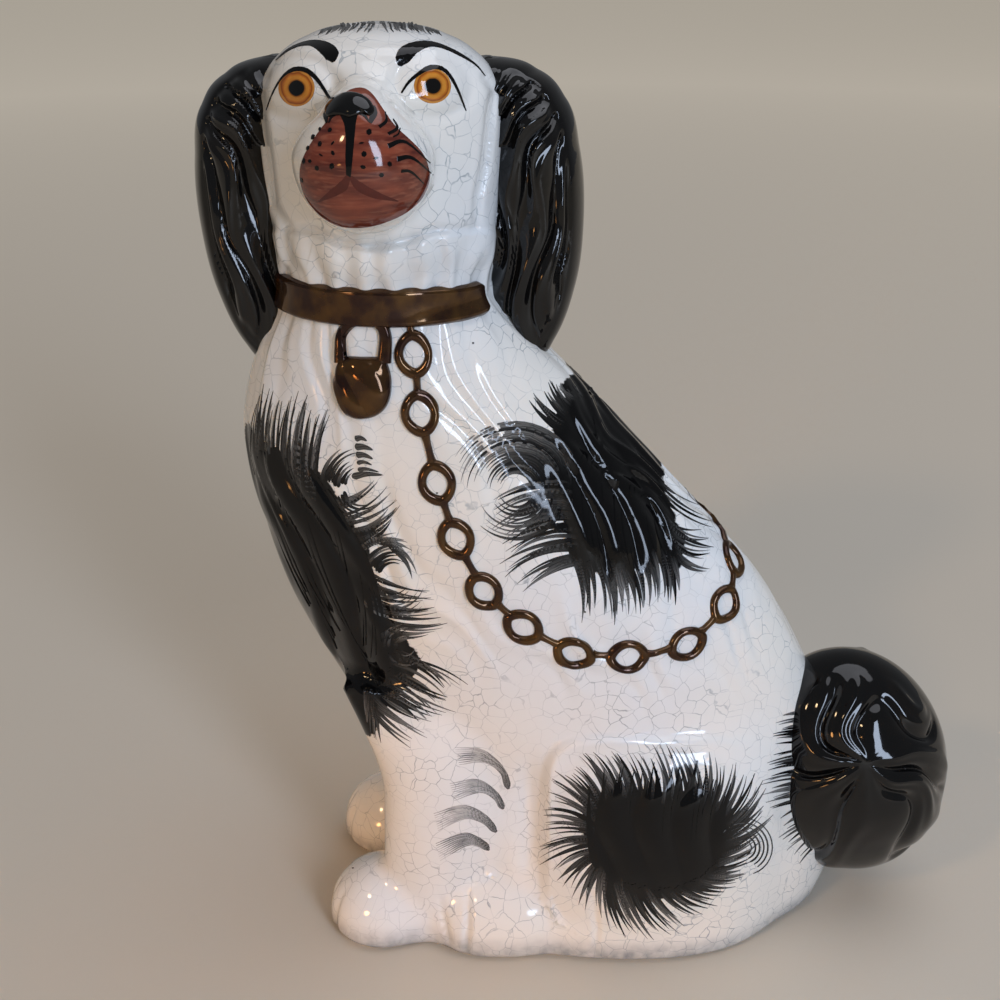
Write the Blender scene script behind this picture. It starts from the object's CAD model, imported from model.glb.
"""The looks of a seated spaniel in glazed, hand-painted earthenware.

Shapes are worked out in the potter's frame of the part's source: millimetres, +Z up, the body
faces -X, the head is turned to -Y. One function, skin_distance, says how far a point is outside
the clay, and every piece of the skin is a grid of rays cast onto it. Painted and raised details
are grids laid on the same skin.
"""

import math

import bpy
import numpy as np
from mathutils import Matrix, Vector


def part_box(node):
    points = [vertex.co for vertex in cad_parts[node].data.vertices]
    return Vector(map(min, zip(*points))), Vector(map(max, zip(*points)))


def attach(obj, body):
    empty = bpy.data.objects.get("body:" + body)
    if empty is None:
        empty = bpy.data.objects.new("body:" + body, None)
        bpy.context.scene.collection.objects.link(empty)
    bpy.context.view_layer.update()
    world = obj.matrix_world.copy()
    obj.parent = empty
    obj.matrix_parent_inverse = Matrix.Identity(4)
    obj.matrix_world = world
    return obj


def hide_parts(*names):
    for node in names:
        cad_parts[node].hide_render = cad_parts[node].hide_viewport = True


bl_info = {
    "name": "Glazed spaniel figure",
    "version": (1, 0, 0),
    "blender": (4, 5, 0),
    "location": "View3D > Sidebar > Spaniel",
    "description": "Builds the skin, the painting and the stage of a seated earthenware spaniel",
    "category": "Object",
}

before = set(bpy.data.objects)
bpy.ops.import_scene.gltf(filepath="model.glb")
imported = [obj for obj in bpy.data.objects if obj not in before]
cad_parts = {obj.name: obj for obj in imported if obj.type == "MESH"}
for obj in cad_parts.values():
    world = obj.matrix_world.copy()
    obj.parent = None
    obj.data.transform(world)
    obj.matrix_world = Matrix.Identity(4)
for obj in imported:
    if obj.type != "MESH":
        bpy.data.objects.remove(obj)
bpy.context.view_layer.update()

MM = 0.001
SLAB_LOW, SLAB_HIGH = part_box("foot_slab")
SLAB_MIDDLE_X = 5.0   # of the slab in the potter's frame
SHIFT = np.array([
    (SLAB_LOW.x + SLAB_HIGH.x) / 2 / MM - SLAB_MIDDLE_X,
    (SLAB_LOW.y + SLAB_HIGH.y) / 2 / MM,
    0.0,
])

# ---- the photo's camera, in the potter's frame -------------------------------
EYE = np.array([-39.0, -408.0, 354.0])
PITCH = math.radians(25)
FOCAL = 1300.0        # pixels
MIDDLE = 500.0        # pixels
LOOK = np.array([0.0, math.cos(PITCH), -math.sin(PITCH)])
UP = np.array([0.0, math.sin(PITCH), math.cos(PITCH)])
RIGHT = np.array([1.0, 0.0, 0.0])
SENSOR = 36.0         # mm
PIXELS_PER_MM = 3.4   # on the near side
X_AXIS, Z_AXIS = (1, 0, 0), (0, 0, 1)


def size(name):
    """A size from the scene's settings, in mm."""
    return getattr(bpy.context.scene.spaniel_sizes, name) / MM


# ---- forms, as in the part's source ------------------------------------------
# height, front x, back x, half depth, middle y
STACK = [
    (0, -76, 86, 44, 0), (16, -75, 90, 44.5, 0), (40, -75, 91, 43.5, 0), (64, -79, 86, 42.5, 0),
    (88, -92, 78.5, 42, 0), (110, -103, 68, 42, 0), (134, -113.5, 53.5, 42, 0), (158, -120, 33, 41.5, 0),
    (182, -124, 11, 40, 0), (204, -123, -9, 38, 0), (222, -117, -26, 35.5, 0), (242, -109, -41, 33, 0),
    (252, -110, -40, 33.5, 0), (264, -111, -39, 34, 0), (280, -112, -38, 34.5, 0), (294, -112, -38, 34, 0),
    (304, -110, -40, 32, -0.5), (311, -104.5, -45.5, 28, -2), (316, -96.5, -53.5, 21, -3.5),
    (319, -87, -63, 12, -4.5), (320, -80, -70, 5, -5),
]
NECK_Z = 242.0
FORELEG = [
    (0, -86, -48, 15, -26), (20, -83, -43, 14.5, -25.5), (45, -81, -36, 15, -26), (68, -81.5, -35, 15, -26),
    (90, -88, -42, 13, -26), (106, -95, -56, 9, -24),
]
HAUNCH = ((21, -12, 35), (47, 37.5, 62))
HAUNCH_FALL = 0.0036   # per mm: how the thigh sinks into the rump towards the tail
HAUNCH_FALL_X = 12.0   # from here on
HAUNCH_POWER = 3.6     # above 2: how square the thigh's shoulders are
FOOT_POWER = 2.3
FOREPAW = ((-82.5, -25.5, 6), (20.5, 19, 21))
HIND_PAW = ((-38.5, -30.5, 6), (27.5, 18.5, 23))
HOCK = ((4, -27, 2), (50, 22, 21))
MUZZLE = ((-77.3, -38, 286.9), (19.8, 20, 20.8))
MUZZLE_TAPER = 0.3      # how much narrower the bridge of the nose is than the lips
MUZZLE_RISE = 19.0      # from the muzzle's middle up to the bridge
BROW_RISE = (292.0, 306.0)
TAIL = ((91, -8, 60.5), (36, 30, 46.5))
TAIL_LEAN = math.radians(-14)
WALL = 6.0
HEAD_AXIS_X = -75.0
# height, outer and inner distance from the head's axis, half depth, middle y
EAR = [
    (212.5, 39, 38, 1, -1), (214.5, 41.5, 36, 3, -1), (222, 47.5, 31, 10, 1), (238, 55, 25, 16, 4),
    (258, 59, 25, 19, 6.5), (280, 59.2, 25, 20, 8), (295, 56, 25, 18.5, 8), (304, 48.5, 25, 14, 8),
    (308.5, 39, 26, 7, 8), (309.5, 34, 30, 3, 8),
]
EAR_ROOT = (-38.0, 300.0)
LEFT_EAR_SWING = math.radians(5)


# ---- Arithmetic on whole arrays of points ------------------------------------
def unit(v):
    """Vectors of length 1: each over the root of the sum of its squares."""
    return v / (np.linalg.norm(v, axis=-1, keepdims=True) + 1e-12)


def sections_at(table, z):
    """Every column of a table of sections at the heights z: a cubic Hermite curve through the rows."""
    rows = np.asarray(table, float)
    knots, values = rows[:, 0], rows[:, 1:]
    slopes = np.gradient(values, knots, axis=0)
    z = np.clip(z, knots[0], knots[-1])
    i = np.clip(np.searchsorted(knots, z) - 1, 0, len(knots) - 2)
    gap = knots[i + 1] - knots[i]
    s = ((z - knots[i]) / gap)[..., None]
    gap = gap[..., None]
    return (
        (2 * s**3 - 3 * s**2 + 1) * values[i] + (s**3 - 2 * s**2 + s) * gap * slopes[i]
        + (3 * s**2 - 2 * s**3) * values[i + 1] + (s**3 - s**2) * gap * slopes[i + 1]
    )


def stacked_ovals(p, table):
    """Distance outside a stack of ovals: (r - 1) over the length of r's slope, r being 1 on the oval."""
    front, back, half, middle = np.moveaxis(sections_at(table, p[..., 2]), -1, 0)
    a = (back - front) / 2
    x = (p[..., 0] - (back + front) / 2) / a
    y = (p[..., 1] - middle) / half
    r = np.sqrt(x * x + y * y) + 1e-6
    slope = np.sqrt((x / a) ** 2 + (y / half) ** 2) / r
    beyond = np.maximum(p[..., 2] - table[-1][0], table[0][0] - p[..., 2])
    return np.maximum((r - 1) / (slope + 1e-9), beyond)


def stretched_ball(p, ball, power=2.0, lean=0.0):
    """Distance outside a ball stretched to three radii, whose power above 2 squares its shoulders."""
    middle, radii = np.asarray(ball[0], float), np.asarray(ball[1], float)
    q = p - middle
    if lean:
        c, s = math.cos(lean), math.sin(lean)
        q = np.stack([q[..., 0] * c - q[..., 2] * s, q[..., 1], q[..., 0] * s + q[..., 2] * c], -1)
    q = np.abs(q / radii) + 1e-9
    k = (q**power).sum(-1) ** (1 / power)
    slope = np.sqrt(((q ** (power - 1) / radii) ** 2).sum(-1)) * k ** (1 - power)
    return (k - 1) / slope


def near_side(p):
    """Points folded over the long seam to the near side: the body's two sides are alike."""
    return p * np.array([1.0, 0.0, 1.0]) - np.abs(p) * np.array([0.0, 1.0, 0.0])


def mirrored(p):
    """The twin points on the other side of the long seam."""
    return p * np.array([1.0, -1.0, 1.0])


def step(x, low, high):
    """0 below low, 1 above high, and an S-curve between them."""
    t = np.clip((x - low) / (high - low), 0, 1)
    return t * t * (3 - 2 * t)


NOISE_WAVES = 7
NOISE_HEIGHT = 3.2    # how high so many waves add up at most, as a rule


def noise(p, size, seed):
    """Smooth noise of about -1 to 1: the sum of sines of random direction and phase, size mm long."""
    rng = np.random.default_rng(seed)
    waves = rng.normal(size=(NOISE_WAVES, 3))
    lengths = rng.uniform(0.7, 1.4, (NOISE_WAVES, 1))
    waves *= (2 * math.pi / size) * lengths / np.linalg.norm(waves, axis=1)[:, None]
    phases = rng.uniform(0, 2 * math.pi, NOISE_WAVES)
    return np.sin(p @ waves.T + phases).sum(-1) / NOISE_HEIGHT


def haunch_form(p):
    """The thigh: a squared ball that sinks into the rump by the square of the way towards the tail."""
    sink = HAUNCH_FALL * np.maximum(p[..., 0] - HAUNCH_FALL_X, 0) ** 2
    return stretched_ball(p - sink[..., None] * np.array([0, 1, 0]), HAUNCH, HAUNCH_POWER)


def muzzle_form(p):
    """The muzzle: a ball whose width shrinks in an S-curve towards the bridge of the nose."""
    middle = np.asarray(MUZZLE[0], float)
    width = 1 - MUZZLE_TAPER * step(p[..., 2] - middle[2], 0, MUZZLE_RISE)
    q = p - middle
    q = np.stack([q[..., 0] / width, q[..., 1], q[..., 2]], -1)
    return stretched_ball(q + middle, MUZZLE)


def muzzle_blend(p):
    """The muzzle stands off the cheeks and the chin, 1.2 mm, and melts into the brow, 9 mm more."""
    return 1.2 + 9.0 * step(p[..., 2], *BROW_RISE)


# each form, and how softly it melts into the others, in mm
FORMS = {
    "stack": (lambda p: stacked_ovals(p, STACK), 7.0),
    "haunch": (haunch_form, 5.0),
    "leg": (lambda p: stacked_ovals(p, FORELEG), 6.0),
    "paw": (lambda p: stretched_ball(p, FOREPAW), 4.0),
    "hind": (lambda p: stretched_ball(p, HIND_PAW, FOOT_POWER), 3.0),
    "hock": (lambda p: stretched_ball(p, HOCK, FOOT_POWER), 4.0),
    "muzzle": (muzzle_form, muzzle_blend),
}
BODY_FORMS = ["stack", "haunch", "leg", "paw", "hind", "hock"]
HEAD_FORMS = ["stack", "muzzle"]
FOOT_ROUND = 5.0   # how softly the skin rolls under at the table


def joined(p, names):
    """Distance outside several forms melted into each other: each form less (k - gap)^2 / 4k for
    every neighbour whose distance is within k of its own, and the least of these."""
    if "leg" in names:
        p = near_side(p)
    away = [FORMS[name][0](p) for name in names]
    blends = [FORMS[name][1](p) if callable(FORMS[name][1]) else FORMS[name][1] for name in names]
    soft = list(away)
    for i in range(len(names)):
        for j in range(i + 1, len(names)):
            k = (blends[i] + blends[j]) / 2
            melt = np.maximum(k - np.abs(away[i] - away[j]), 0) ** 2 / (4 * k)
            soft[i] = soft[i] - melt
            soft[j] = soft[j] - melt
    return np.minimum.reduce(soft), away


def rolled_under(distance, z):
    """The distance once the form is cut off by the table: the greater of both distances, and where they
    are within k of each other, (k - gap)^2 / 4k more, which rolls the edge softly under."""
    near_edge = np.maximum(FOOT_ROUND - np.abs(distance + z), 0)
    return np.maximum(distance, -z) + near_edge**2 / (4 * FOOT_ROUND)


def seen(p):
    """The photo's pixel coordinates of points in the potter's frame: from the middle, the focal length
    times the way to the right, and up, over the depth."""
    q = p - EYE
    depth = q @ LOOK
    return np.stack([MIDDLE + FOCAL * (q @ RIGHT) / depth, MIDDLE - FOCAL * (q @ UP) / depth], -1)


def curve_through(points, count, closed=False):
    """A smooth curve through a few points: Catmull-Rom cubics, at evenly spaced parameters."""
    points = np.asarray(points, float)
    n = len(points)
    t = np.linspace(0, n if closed else n - 1, count, endpoint=not closed)
    i = np.minimum(t.astype(int), n - 1 if closed else n - 2)
    s = (t - i)[:, None]
    ids = np.stack([i - 1, i, i + 1, i + 2])
    if closed:
        a, b, c, d = points[ids % n]
    else:
        ends = np.vstack([2 * points[0] - points[1], points, 2 * points[-1] - points[-2]])
        a, b, c, d = ends[ids + 1]
    return 0.5 * (2 * b + (c - a) * s + (2 * a - 5 * b + 4 * c - d) * s**2 + (3 * b - a - 3 * c + d) * s**3)


def from_line(q, line):
    """Least distance of 2-D points from a polyline, and the share of the way along it."""
    line = np.asarray(line, float)
    best = np.full(q.shape[:-1], 1e9)
    along = np.zeros(q.shape[:-1])
    for k in range(len(line) - 1):
        a, b = line[k], line[k + 1]
        run = b - a
        t = np.clip(((q - a) @ run) / (run @ run), 0, 1)
        d = np.linalg.norm(q - a - t[..., None] * run, axis=-1)
        nearer = d < best
        best = np.where(nearer, d, best)
        along = np.where(nearer, (k + t) / (len(line) - 1), along)
    return best, along


def inside_outline(q, outline):
    """Distance of 2-D points inside a closed outline, less than 0 outside it."""
    line = curve_through(outline, 6 * len(outline), closed=True)
    ring = np.vstack([line, line[:1]])
    d, _ = from_line(q, ring)
    a, b = ring[:-1], ring[1:]
    x, y = q[..., 0, None], q[..., 1, None]
    crosses = (a[:, 1] > y) != (b[:, 1] > y)
    level = np.where(b[:, 1] == a[:, 1], 1e-9, b[:, 1] - a[:, 1])
    odd = (crosses & (x < (b[:, 0] - a[:, 0]) * (y - a[:, 1]) / level + a[:, 0])).sum(-1) % 2 == 1
    return np.where(odd, d, -d)


# ---- Relief of the skin ------------------------------------------------------
FACE_CREASES = [
    [(275, 60), (261, 91), (262, 117), (269, 165), (274, 205), (288, 228)],
    [(485, 77), (494, 90), (490, 117), (485, 165), (478, 196), (476, 226)],
]
CHIN_FOLD = [(290, 228), (316, 231), (343, 243), (369, 247), (404, 242), (435, 231), (470, 229)]
EYES = [((296.5, 88), (18.4, 18.6)), ((432.5, 86), (18.8, 17.6))]


HAIR_GIRTH = 42.0       # mm round the body to a radian of its bearing
HAIR_SPACING = 11.5     # mm between locks
FINE_SPACING = 5.2      # mm between the ridges on them
COAT_LOW = (92, 130)    # heights over which the modelled coat begins
RUFF = (225, 246)       # and where it grows shallower
COAT_HIGH = (250, 262)  # and where it ends


def hair_relief(p):
    """Waves of the coat: sines of the way round the body, once per lock and once per ridge, which sway
    with the height. They are deepest on the breast and the shoulder, and slow noise adds lumps."""
    front, back, half, _ = np.moveaxis(sections_at(STACK, p[..., 2]), -1, 0)
    a = (back - front) / 2
    turn = np.arctan2(p[..., 1] / half, (p[..., 0] - (front + back) / 2) / a)
    z = p[..., 2]
    sway = 0.42 * np.sin(z / 13 + 2.5 * turn) + 0.5 * noise(p, 38, 3)
    girth = turn * HAIR_GIRTH
    lock = np.sin(2 * math.pi * (girth / HAIR_SPACING + sway))
    fine = np.sin(2 * math.pi * (girth / FINE_SPACING + 1.7 * sway + 0.15 * noise(p, 18, 5)))
    begun = step(z, *COAT_LOW)
    depth = size("hair_depth") * begun * (1 - 0.45 * step(z, *RUFF)) * (1 - step(z, *COAT_HIGH))
    depth = depth * (0.65 + 0.35 * noise(p, 60, 8))
    low_depth = 0.22 * step(z, 8, 30) * (1 - begun)
    lumps = noise(p * np.array([1, 1, 0.5]), 22, 11)
    return depth * (0.75 * lock + 0.18 * fine) + (low_depth + 0.35 * depth) * lumps


def face_relief(p):
    """Creases beside the cheeks, the fold under the chin, and the low swell of each eye and brow. Each is
    a bell curve, e^-(d / width)^2, of the photo's distance d from a line or a point."""
    q = seen(p)
    facing = step(-p[..., 1], 2, 14) * step(p[..., 2], 246, 252)
    raised = np.zeros(p.shape[:-1])
    for crease in FACE_CREASES:
        d, along = from_line(q, crease)
        full = np.sin(math.pi * np.clip(along, 0.03, 0.97)) ** 0.4
        raised += full * (0.7 * np.exp(-((d / 13.0) ** 2)) - 2.1 * np.exp(-((d / 4.6) ** 2)))
    d, along = from_line(q, CHIN_FOLD)
    fold = np.asarray(CHIN_FOLD, float)
    below = q[..., 1] - np.interp(q[..., 0], fold[:, 0], fold[:, 1])
    full = np.sin(math.pi * np.clip(along, 0.02, 0.98)) ** 0.4
    raised += full * (2.6 * step(below, -2, 7) * (1 - step(below, 18, 46)) - 2.0 * np.exp(-((d / 5.0) ** 2)))
    for (x, y), _ in EYES:
        d = np.hypot((q[..., 0] - x) / 27, (q[..., 1] - y) / 22)
        raised += 1.9 * np.exp(-(d**2.6)) - 0.9 * np.exp(-((d - 1.4) ** 2) / 0.08)
    brow = np.exp(-(((q[..., 1] - 54) / 13) ** 2)) * np.exp(-(((np.abs(q[..., 0] - 366) - 62) / 36) ** 2))
    return facing * (raised + 1.5 * brow)


def bulges(phase, power=1.0):
    """Rounded swells between narrow grooves, from about -1 to 1: twice (cos^2(phase / 2) + 0.02)
    raised to half the power, less 1."""
    return 2 * (np.cos(phase / 2) ** 2 + 0.02) ** (power / 2) - 1


def squared(q, middle, half, power=6.0):
    """1 on a squared oval of pixels, less inside it: the power mean of both shares of the half sizes."""
    u = np.abs((q[..., 0] - middle[0]) / half[0])
    v = np.abs((q[..., 1] - middle[1]) / half[1])
    return (u**power + v**power) ** (1 / power)


THIGH = ((665, 846), (121, 108))      # pixels: middle and half sizes of the thigh's raised edge
THIGH_PIXELS = 33                     # to a unit of the squared oval
VALLEY_X = 529                        # pixels: the valley between thigh and belly
TOE_LINES = [
    [(441, 900), (447, 930), (452, 952)], [(468, 893), (468, 930), (466, 955)],
    [(592, 893), (597, 925), (596, 952)],
]
TOE_DEPTHS = (1.0, 1.5, 0.9)


def thigh_relief(q, side):
    """The thigh's crisp front and upper edge, an S-curve across a squared oval with a bead along it, the
    valley before it, and the toes of the hind paw, which are bell curves across their lines."""
    x, y = q[..., 0], q[..., 1]
    inside = (1 - squared(q, *THIGH)) * THIGH_PIXELS
    edge = 2.3 * step(inside, -1.7, 1.7) * (1 - step(x, 640, 780)) * (1 - step(y, 868, 925))
    edge += 0.5 * np.exp(-((inside - 1.5) ** 2) / 3) * (1 - step(x, 690, 760)) * (1 - step(y, 850, 880))
    valley = -2.6 * np.exp(-(((x - VALLEY_X) / 12) ** 2)) * step(y, 742, 790) * (1 - step(y, 855, 885))
    toes = 0
    for line, depth in zip(TOE_LINES, TOE_DEPTHS):
        d, along = from_line(q, line)
        toes = toes - depth * np.exp(-((d / 3.6) ** 2)) * np.sin(math.pi * np.clip(along, 0.1, 0.9))
    return side * (edge + valley + toes)


def lock_relief(q, side):
    """Deep wet locks of hair down the breast, the back and the thigh: bulges of the photo's x, once to
    about 30 pixels, which sway with y and fade at the edge of a squared oval."""
    x, y = q[..., 0], q[..., 1]
    breast = squared(q, (322 + 0.42 * (y - 570), 575), (72, 150), 3)
    fall = x - 0.42 * (y - 560) + 9 * np.sin(y / 33)
    raised = 0.9 * bulges(2 * math.pi * fall / 29) * (1 - step(breast, 0.55, 0.95))
    back = squared(q, (612 + 0.12 * (y - 490), 484), (74, 112), 3)
    fall = x - 0.25 * (y - 490) - 16 * np.sin((y - 470) / 45)
    raised += 0.95 * bulges(2 * math.pi * fall / 31) * (1 - step(back, 0.55, 0.95))
    thigh = squared(q, (660, 838), (92, 66), 3)
    fall = x + 0.003 * (x - 655) * (y - 900) + 7 * np.sin(y / 21)
    fade = (1 - step(thigh, 0.55, 0.95)) * (1 - 0.6 * step(y, 835, 880))
    raised += 0.95 * bulges(2 * math.pi * fall / 30) * fade
    return side * raised


def toe_relief(p, ball, spread, depth):
    """Grooves between the toes: bell curves of the bearing round the paw's front, at three bearings a
    spread of degrees apart, which fade upward."""
    q = p - np.asarray(ball[0], float)
    bearing = np.degrees(np.arctan2(q[..., 1], -q[..., 0]))
    away = np.linalg.norm(q / np.asarray(ball[1], float), axis=-1)
    groove = sum(np.exp(-(((bearing - spread * k) / 5.0) ** 2)) for k in (-1, 0, 1))
    return -depth * groove * step(away, 0.55, 0.85) * (1 - step(q[..., 2], 8, 17))


def body_relief(p):
    """The coat, which fades near the paws, plus toes, thigh and locks, the same on both sides."""
    near = near_side(p)
    q = seen(near)
    side = step(-near[..., 1], 6, 20)
    toes = toe_relief(near, FOREPAW, 26, 0.8)
    coat = hair_relief(p) * step(away_from_feet(near), -2, 10)
    return coat + toes + thigh_relief(q, side) + lock_relief(q, side)


def away_from_feet(p):
    """Distance outside the nearer of the paws, the least of both."""
    return np.minimum(stretched_ball(p, FOREPAW), stretched_ball(p, HIND_PAW))


def head_relief(p):
    """The coat plus the features of the face and the ruff, a sine of x below the cheeks."""
    ruff = 0.6 * np.sin(p[..., 0] / 1.45 + 1.2 * noise(p, 20, 21)) * step(-p[..., 2], -270, -258)
    return hair_relief(p) + face_relief(p) + ruff * step(-p[..., 1], 0, 12)


def body_distance(p):
    """Distance outside the painted body, relief included."""
    return rolled_under(joined(p, BODY_FORMS)[0] - body_relief(p), p[..., 2])


def head_distance(p):
    """Distance outside the head, relief included."""
    return joined(p, HEAD_FORMS)[0] - head_relief(p)


def own_part(names, own, relief):
    """The distance outside one form's share of the skin. It is the skin's own distance as far as the
    border with the next form, and just past it the share dips under its neighbour."""
    def distance(p):
        """The skin's distance plus the dip past the border."""
        skin, away = joined(p, names)
        mine = np.minimum.reduce([away[names.index(n)] for n in own])
        others = [away[k] for k, n in enumerate(names) if n not in own]
        past = mine - np.minimum.reduce(others)
        dip = 0.02 * np.clip(past, 0, 2.5) + 0.9 * np.maximum(past - 2.5, 0)
        skin = skin - relief(p) + dip
        return rolled_under(skin, p[..., 2]) if "muzzle" not in names else skin
    return distance


SLOPE_GAP = 0.15   # mm


def slope_of(distance, p):
    """Unit vectors out of the clay: the sum of the four corners of a small tetrahedron round a point,
    each times the distance there."""
    corners = np.array([[1, -1, -1], [-1, -1, 1], [-1, 1, -1], [1, 1, 1]], float)
    return unit(sum(distance(p + SLOPE_GAP * corner)[..., None] * corner for corner in corners))


HALVINGS = 9
CAST_STEPS = 13


def cast(distance, origins, ways, far):
    """Where rays from inside the clay come out of it, at most far mm away: halvings, then steps of false
    position, which go where a straight line between both ends' distances is 0."""
    low = np.zeros(origins.shape[:-1])
    high = np.full(origins.shape[:-1], float(far))
    low_value, high_value = np.full(low.shape, -1.0), np.full(low.shape, 1.0)
    for turn in range(CAST_STEPS):
        share = 0.5 if turn < HALVINGS else np.clip(low_value / (low_value - high_value), 0.05, 0.95)
        reach = low + share * (high - low)
        value = distance(origins + ways * reach[..., None])
        outside = value > 0
        high, high_value = np.where(outside, reach, high), np.where(outside, value, high_value)
        low, low_value = np.where(outside, low, reach), np.where(outside, low_value, value)
    reach = low + (high - low) * low_value / (low_value - high_value)
    return origins + ways * reach[..., None]


def settle(distance, p, times=4):
    """Points moved onto the skin: a few times, each less its distance along the slope."""
    for _ in range(times):
        p = p - distance(p)[..., None] * slope_of(distance, p)
    return p


def sight(pixels):
    """The photo's rays through pixels: 1 mm ahead, and right and up by the pixels over the focal length."""
    right, down = np.moveaxis((pixels - MIDDLE) / FOCAL, -1, 0)
    return LOOK + RIGHT * right[..., None] - UP * down[..., None]


MARCH_NEAR, MARCH_FAR, MARCH_STEP = 330.0, 560.0, 3.0   # mm ahead of the camera


def on_skin(distance, pixels):
    """Where the photo's rays through some pixels first meet the skin: marched in even steps to the first
    that is inside, then halved. The second value says which rays meet it at all."""
    ways = sight(np.asarray(pixels, float))
    low = np.full(ways.shape[:-1], MARCH_NEAR)
    found = np.zeros(ways.shape[:-1], bool)
    for depth in np.arange(MARCH_NEAR, MARCH_FAR, MARCH_STEP):
        inside = distance(EYE + ways * depth) < 0
        found |= inside
        low = np.where(found, low, depth)
    high = low + MARCH_STEP
    for _ in range(11):
        half = (low + high) / 2
        inside = distance(EYE + ways * half[..., None]) < 0
        high = np.where(inside, half, high)
        low = np.where(inside, low, half)
    return EYE + ways * high[..., None], found


# ---- Meshes ------------------------------------------------------------------
def fan(low, high, axis, first, turns, side, caps):
    """Origins and directions of a grid of rays: rows that climb from the low pole round to the flank,
    along the axis from low to high, and over to the high pole; columns at the angles turns.
    caps gives the rows of the low and the high pole, where 0 leaves that end open."""
    axis = np.asarray(axis, float)
    first = np.asarray(first, float)
    second = np.cross(axis, first)
    tilt_low = np.linspace(-math.pi / 2, 0, caps[0] + 1)[:-1] if caps[0] else np.zeros(0)
    tilt_high = np.linspace(0, math.pi / 2, caps[1] + 1)[1:] if caps[1] else np.zeros(0)
    tilt = np.concatenate([tilt_low, np.zeros(side), tilt_high])
    share = np.concatenate([np.zeros(len(tilt_low)), np.linspace(0, 1, side), np.ones(len(tilt_high))])
    origins = np.asarray(low, float) + share[:, None] * (np.asarray(high, float) - np.asarray(low, float))
    around = unit(np.cos(turns)[:, None] * first + np.sin(turns)[:, None] * second)
    ways = np.cos(tilt)[:, None, None] * around[None] + np.sin(tilt)[:, None, None] * axis
    return np.broadcast_to(origins[:, None], ways.shape), ways


def quads_of(ids):
    """Quads between neighbouring entries of a table of point numbers."""
    return np.stack([ids[:-1, :-1], ids[:-1, 1:], ids[1:, 1:], ids[1:, :-1]], -1).reshape(-1, 4)


def numbered(rows, cols):
    """The table of point numbers of a grid, counted row by row."""
    return np.arange(rows * cols).reshape(rows, cols)


class Clay:
    """Vertices, normals, faces and painted values of one piece, gathered grid by grid."""

    def __init__(self):
        """Starts empty."""
        self.points, self.normals, self.faces, self.values = [], [], [], {}
        self.count = 0

    def add(self, points, normals, faces, **values):
        """Adds points (n, 3), normals (n, 3) and a list of face arrays that count from 0. They are turned
        over where the volume that they enclose, the sum of a . (b x c) over the triangles, is below 0."""
        corners = [f[:, [0, k, k + 1]] for f in faces for k in range(1, f.shape[1] - 1)]
        a, b, c = np.moveaxis(points[np.vstack(corners)] - points[0], 1, 0)
        turned = np.einsum("ij,ij->i", a, np.cross(b, c)).sum() < 0
        self.faces += [(f[:, ::-1] if turned else f) + self.count for f in faces]
        self.points.append(points)
        self.normals.append(normals)
        for name, value in values.items():
            self.values.setdefault(name, []).append((self.count, np.asarray(value, float)))
        self.count += len(points)

    def add_closed(self, grid, normals, poles=(True, True), **values):
        """Adds a grid whose columns close round, with its end rows drawn together or capped flat."""
        rows, cols = grid.shape[:2]
        ids = numbered(rows, cols)
        for end in (0, -1):
            if poles[end]:
                ids[end] = ids[end, 0]
        quads = quads_of(np.hstack([ids, ids[:, :1]]))
        faces = [quads]
        if poles[0]:
            faces = [quads[:cols][:, [0, 2, 3]], quads[cols:]]
        if poles[1]:
            faces = faces[:-1] + [faces[-1][:-cols], faces[-1][-cols:][:, [0, 1, 2]]]
        faces += [flat for flat, pole in zip((ids[:1, ::-1], ids[-1:]), poles) if not pole]
        used, back = np.unique(np.concatenate([f.reshape(-1) for f in faces]), return_inverse=True)
        sizes = np.cumsum([f.size for f in faces])[:-1]
        faces = [b.reshape(f.shape) for b, f in zip(np.split(back.reshape(-1), sizes), faces)]
        self.add(
            grid.reshape(-1, 3)[used], normals.reshape(-1, 3)[used], faces,
            **{k: np.broadcast_to(v, (rows, cols)).reshape(-1)[used] for k, v in values.items()},
        )

    def make(self, name, material, slot, nodes):
        """Writes the mesh, in metres in the row's frame, and puts it on its body."""
        points = (np.vstack(self.points) + SHIFT) * MM
        mesh = bpy.data.meshes.new(name)
        mesh.from_pydata(points.tolist(), [], [f for part in self.faces for f in part.tolist()])
        mesh.polygons.foreach_set("use_smooth", np.ones(len(mesh.polygons), bool))
        for label, parts in self.values.items():
            whole = np.zeros(self.count, np.float32)
            for start, value in parts:
                whole[start:start + len(value)] = value
            mesh.attributes.new(label, "FLOAT", "POINT").data.foreach_set("value", whole)
        mesh.update()
        mesh.normals_split_custom_set_from_vertices(np.vstack(self.normals).astype(np.float32))
        mesh.materials.append(material)
        piece = bpy.data.objects.new(name, mesh)
        bpy.context.scene.collection.objects.link(piece)
        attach(piece, "root")
        if nodes:
            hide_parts(*nodes)
        return piece


# ---- Materials ---------------------------------------------------------------
def linear(code):
    """An sRGB hex colour as the linear numbers that a shader takes."""
    parts = [int(code[k:k + 2], 16) / 255 for k in (1, 3, 5)]
    return [c / 12.92 if c <= 0.04045 else ((c + 0.055) / 1.055) ** 2.4 for c in parts] + [1.0]


def tint(name):
    """A colour from the scene's settings."""
    return tuple(getattr(bpy.context.scene.spaniel_colours, name))


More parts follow.
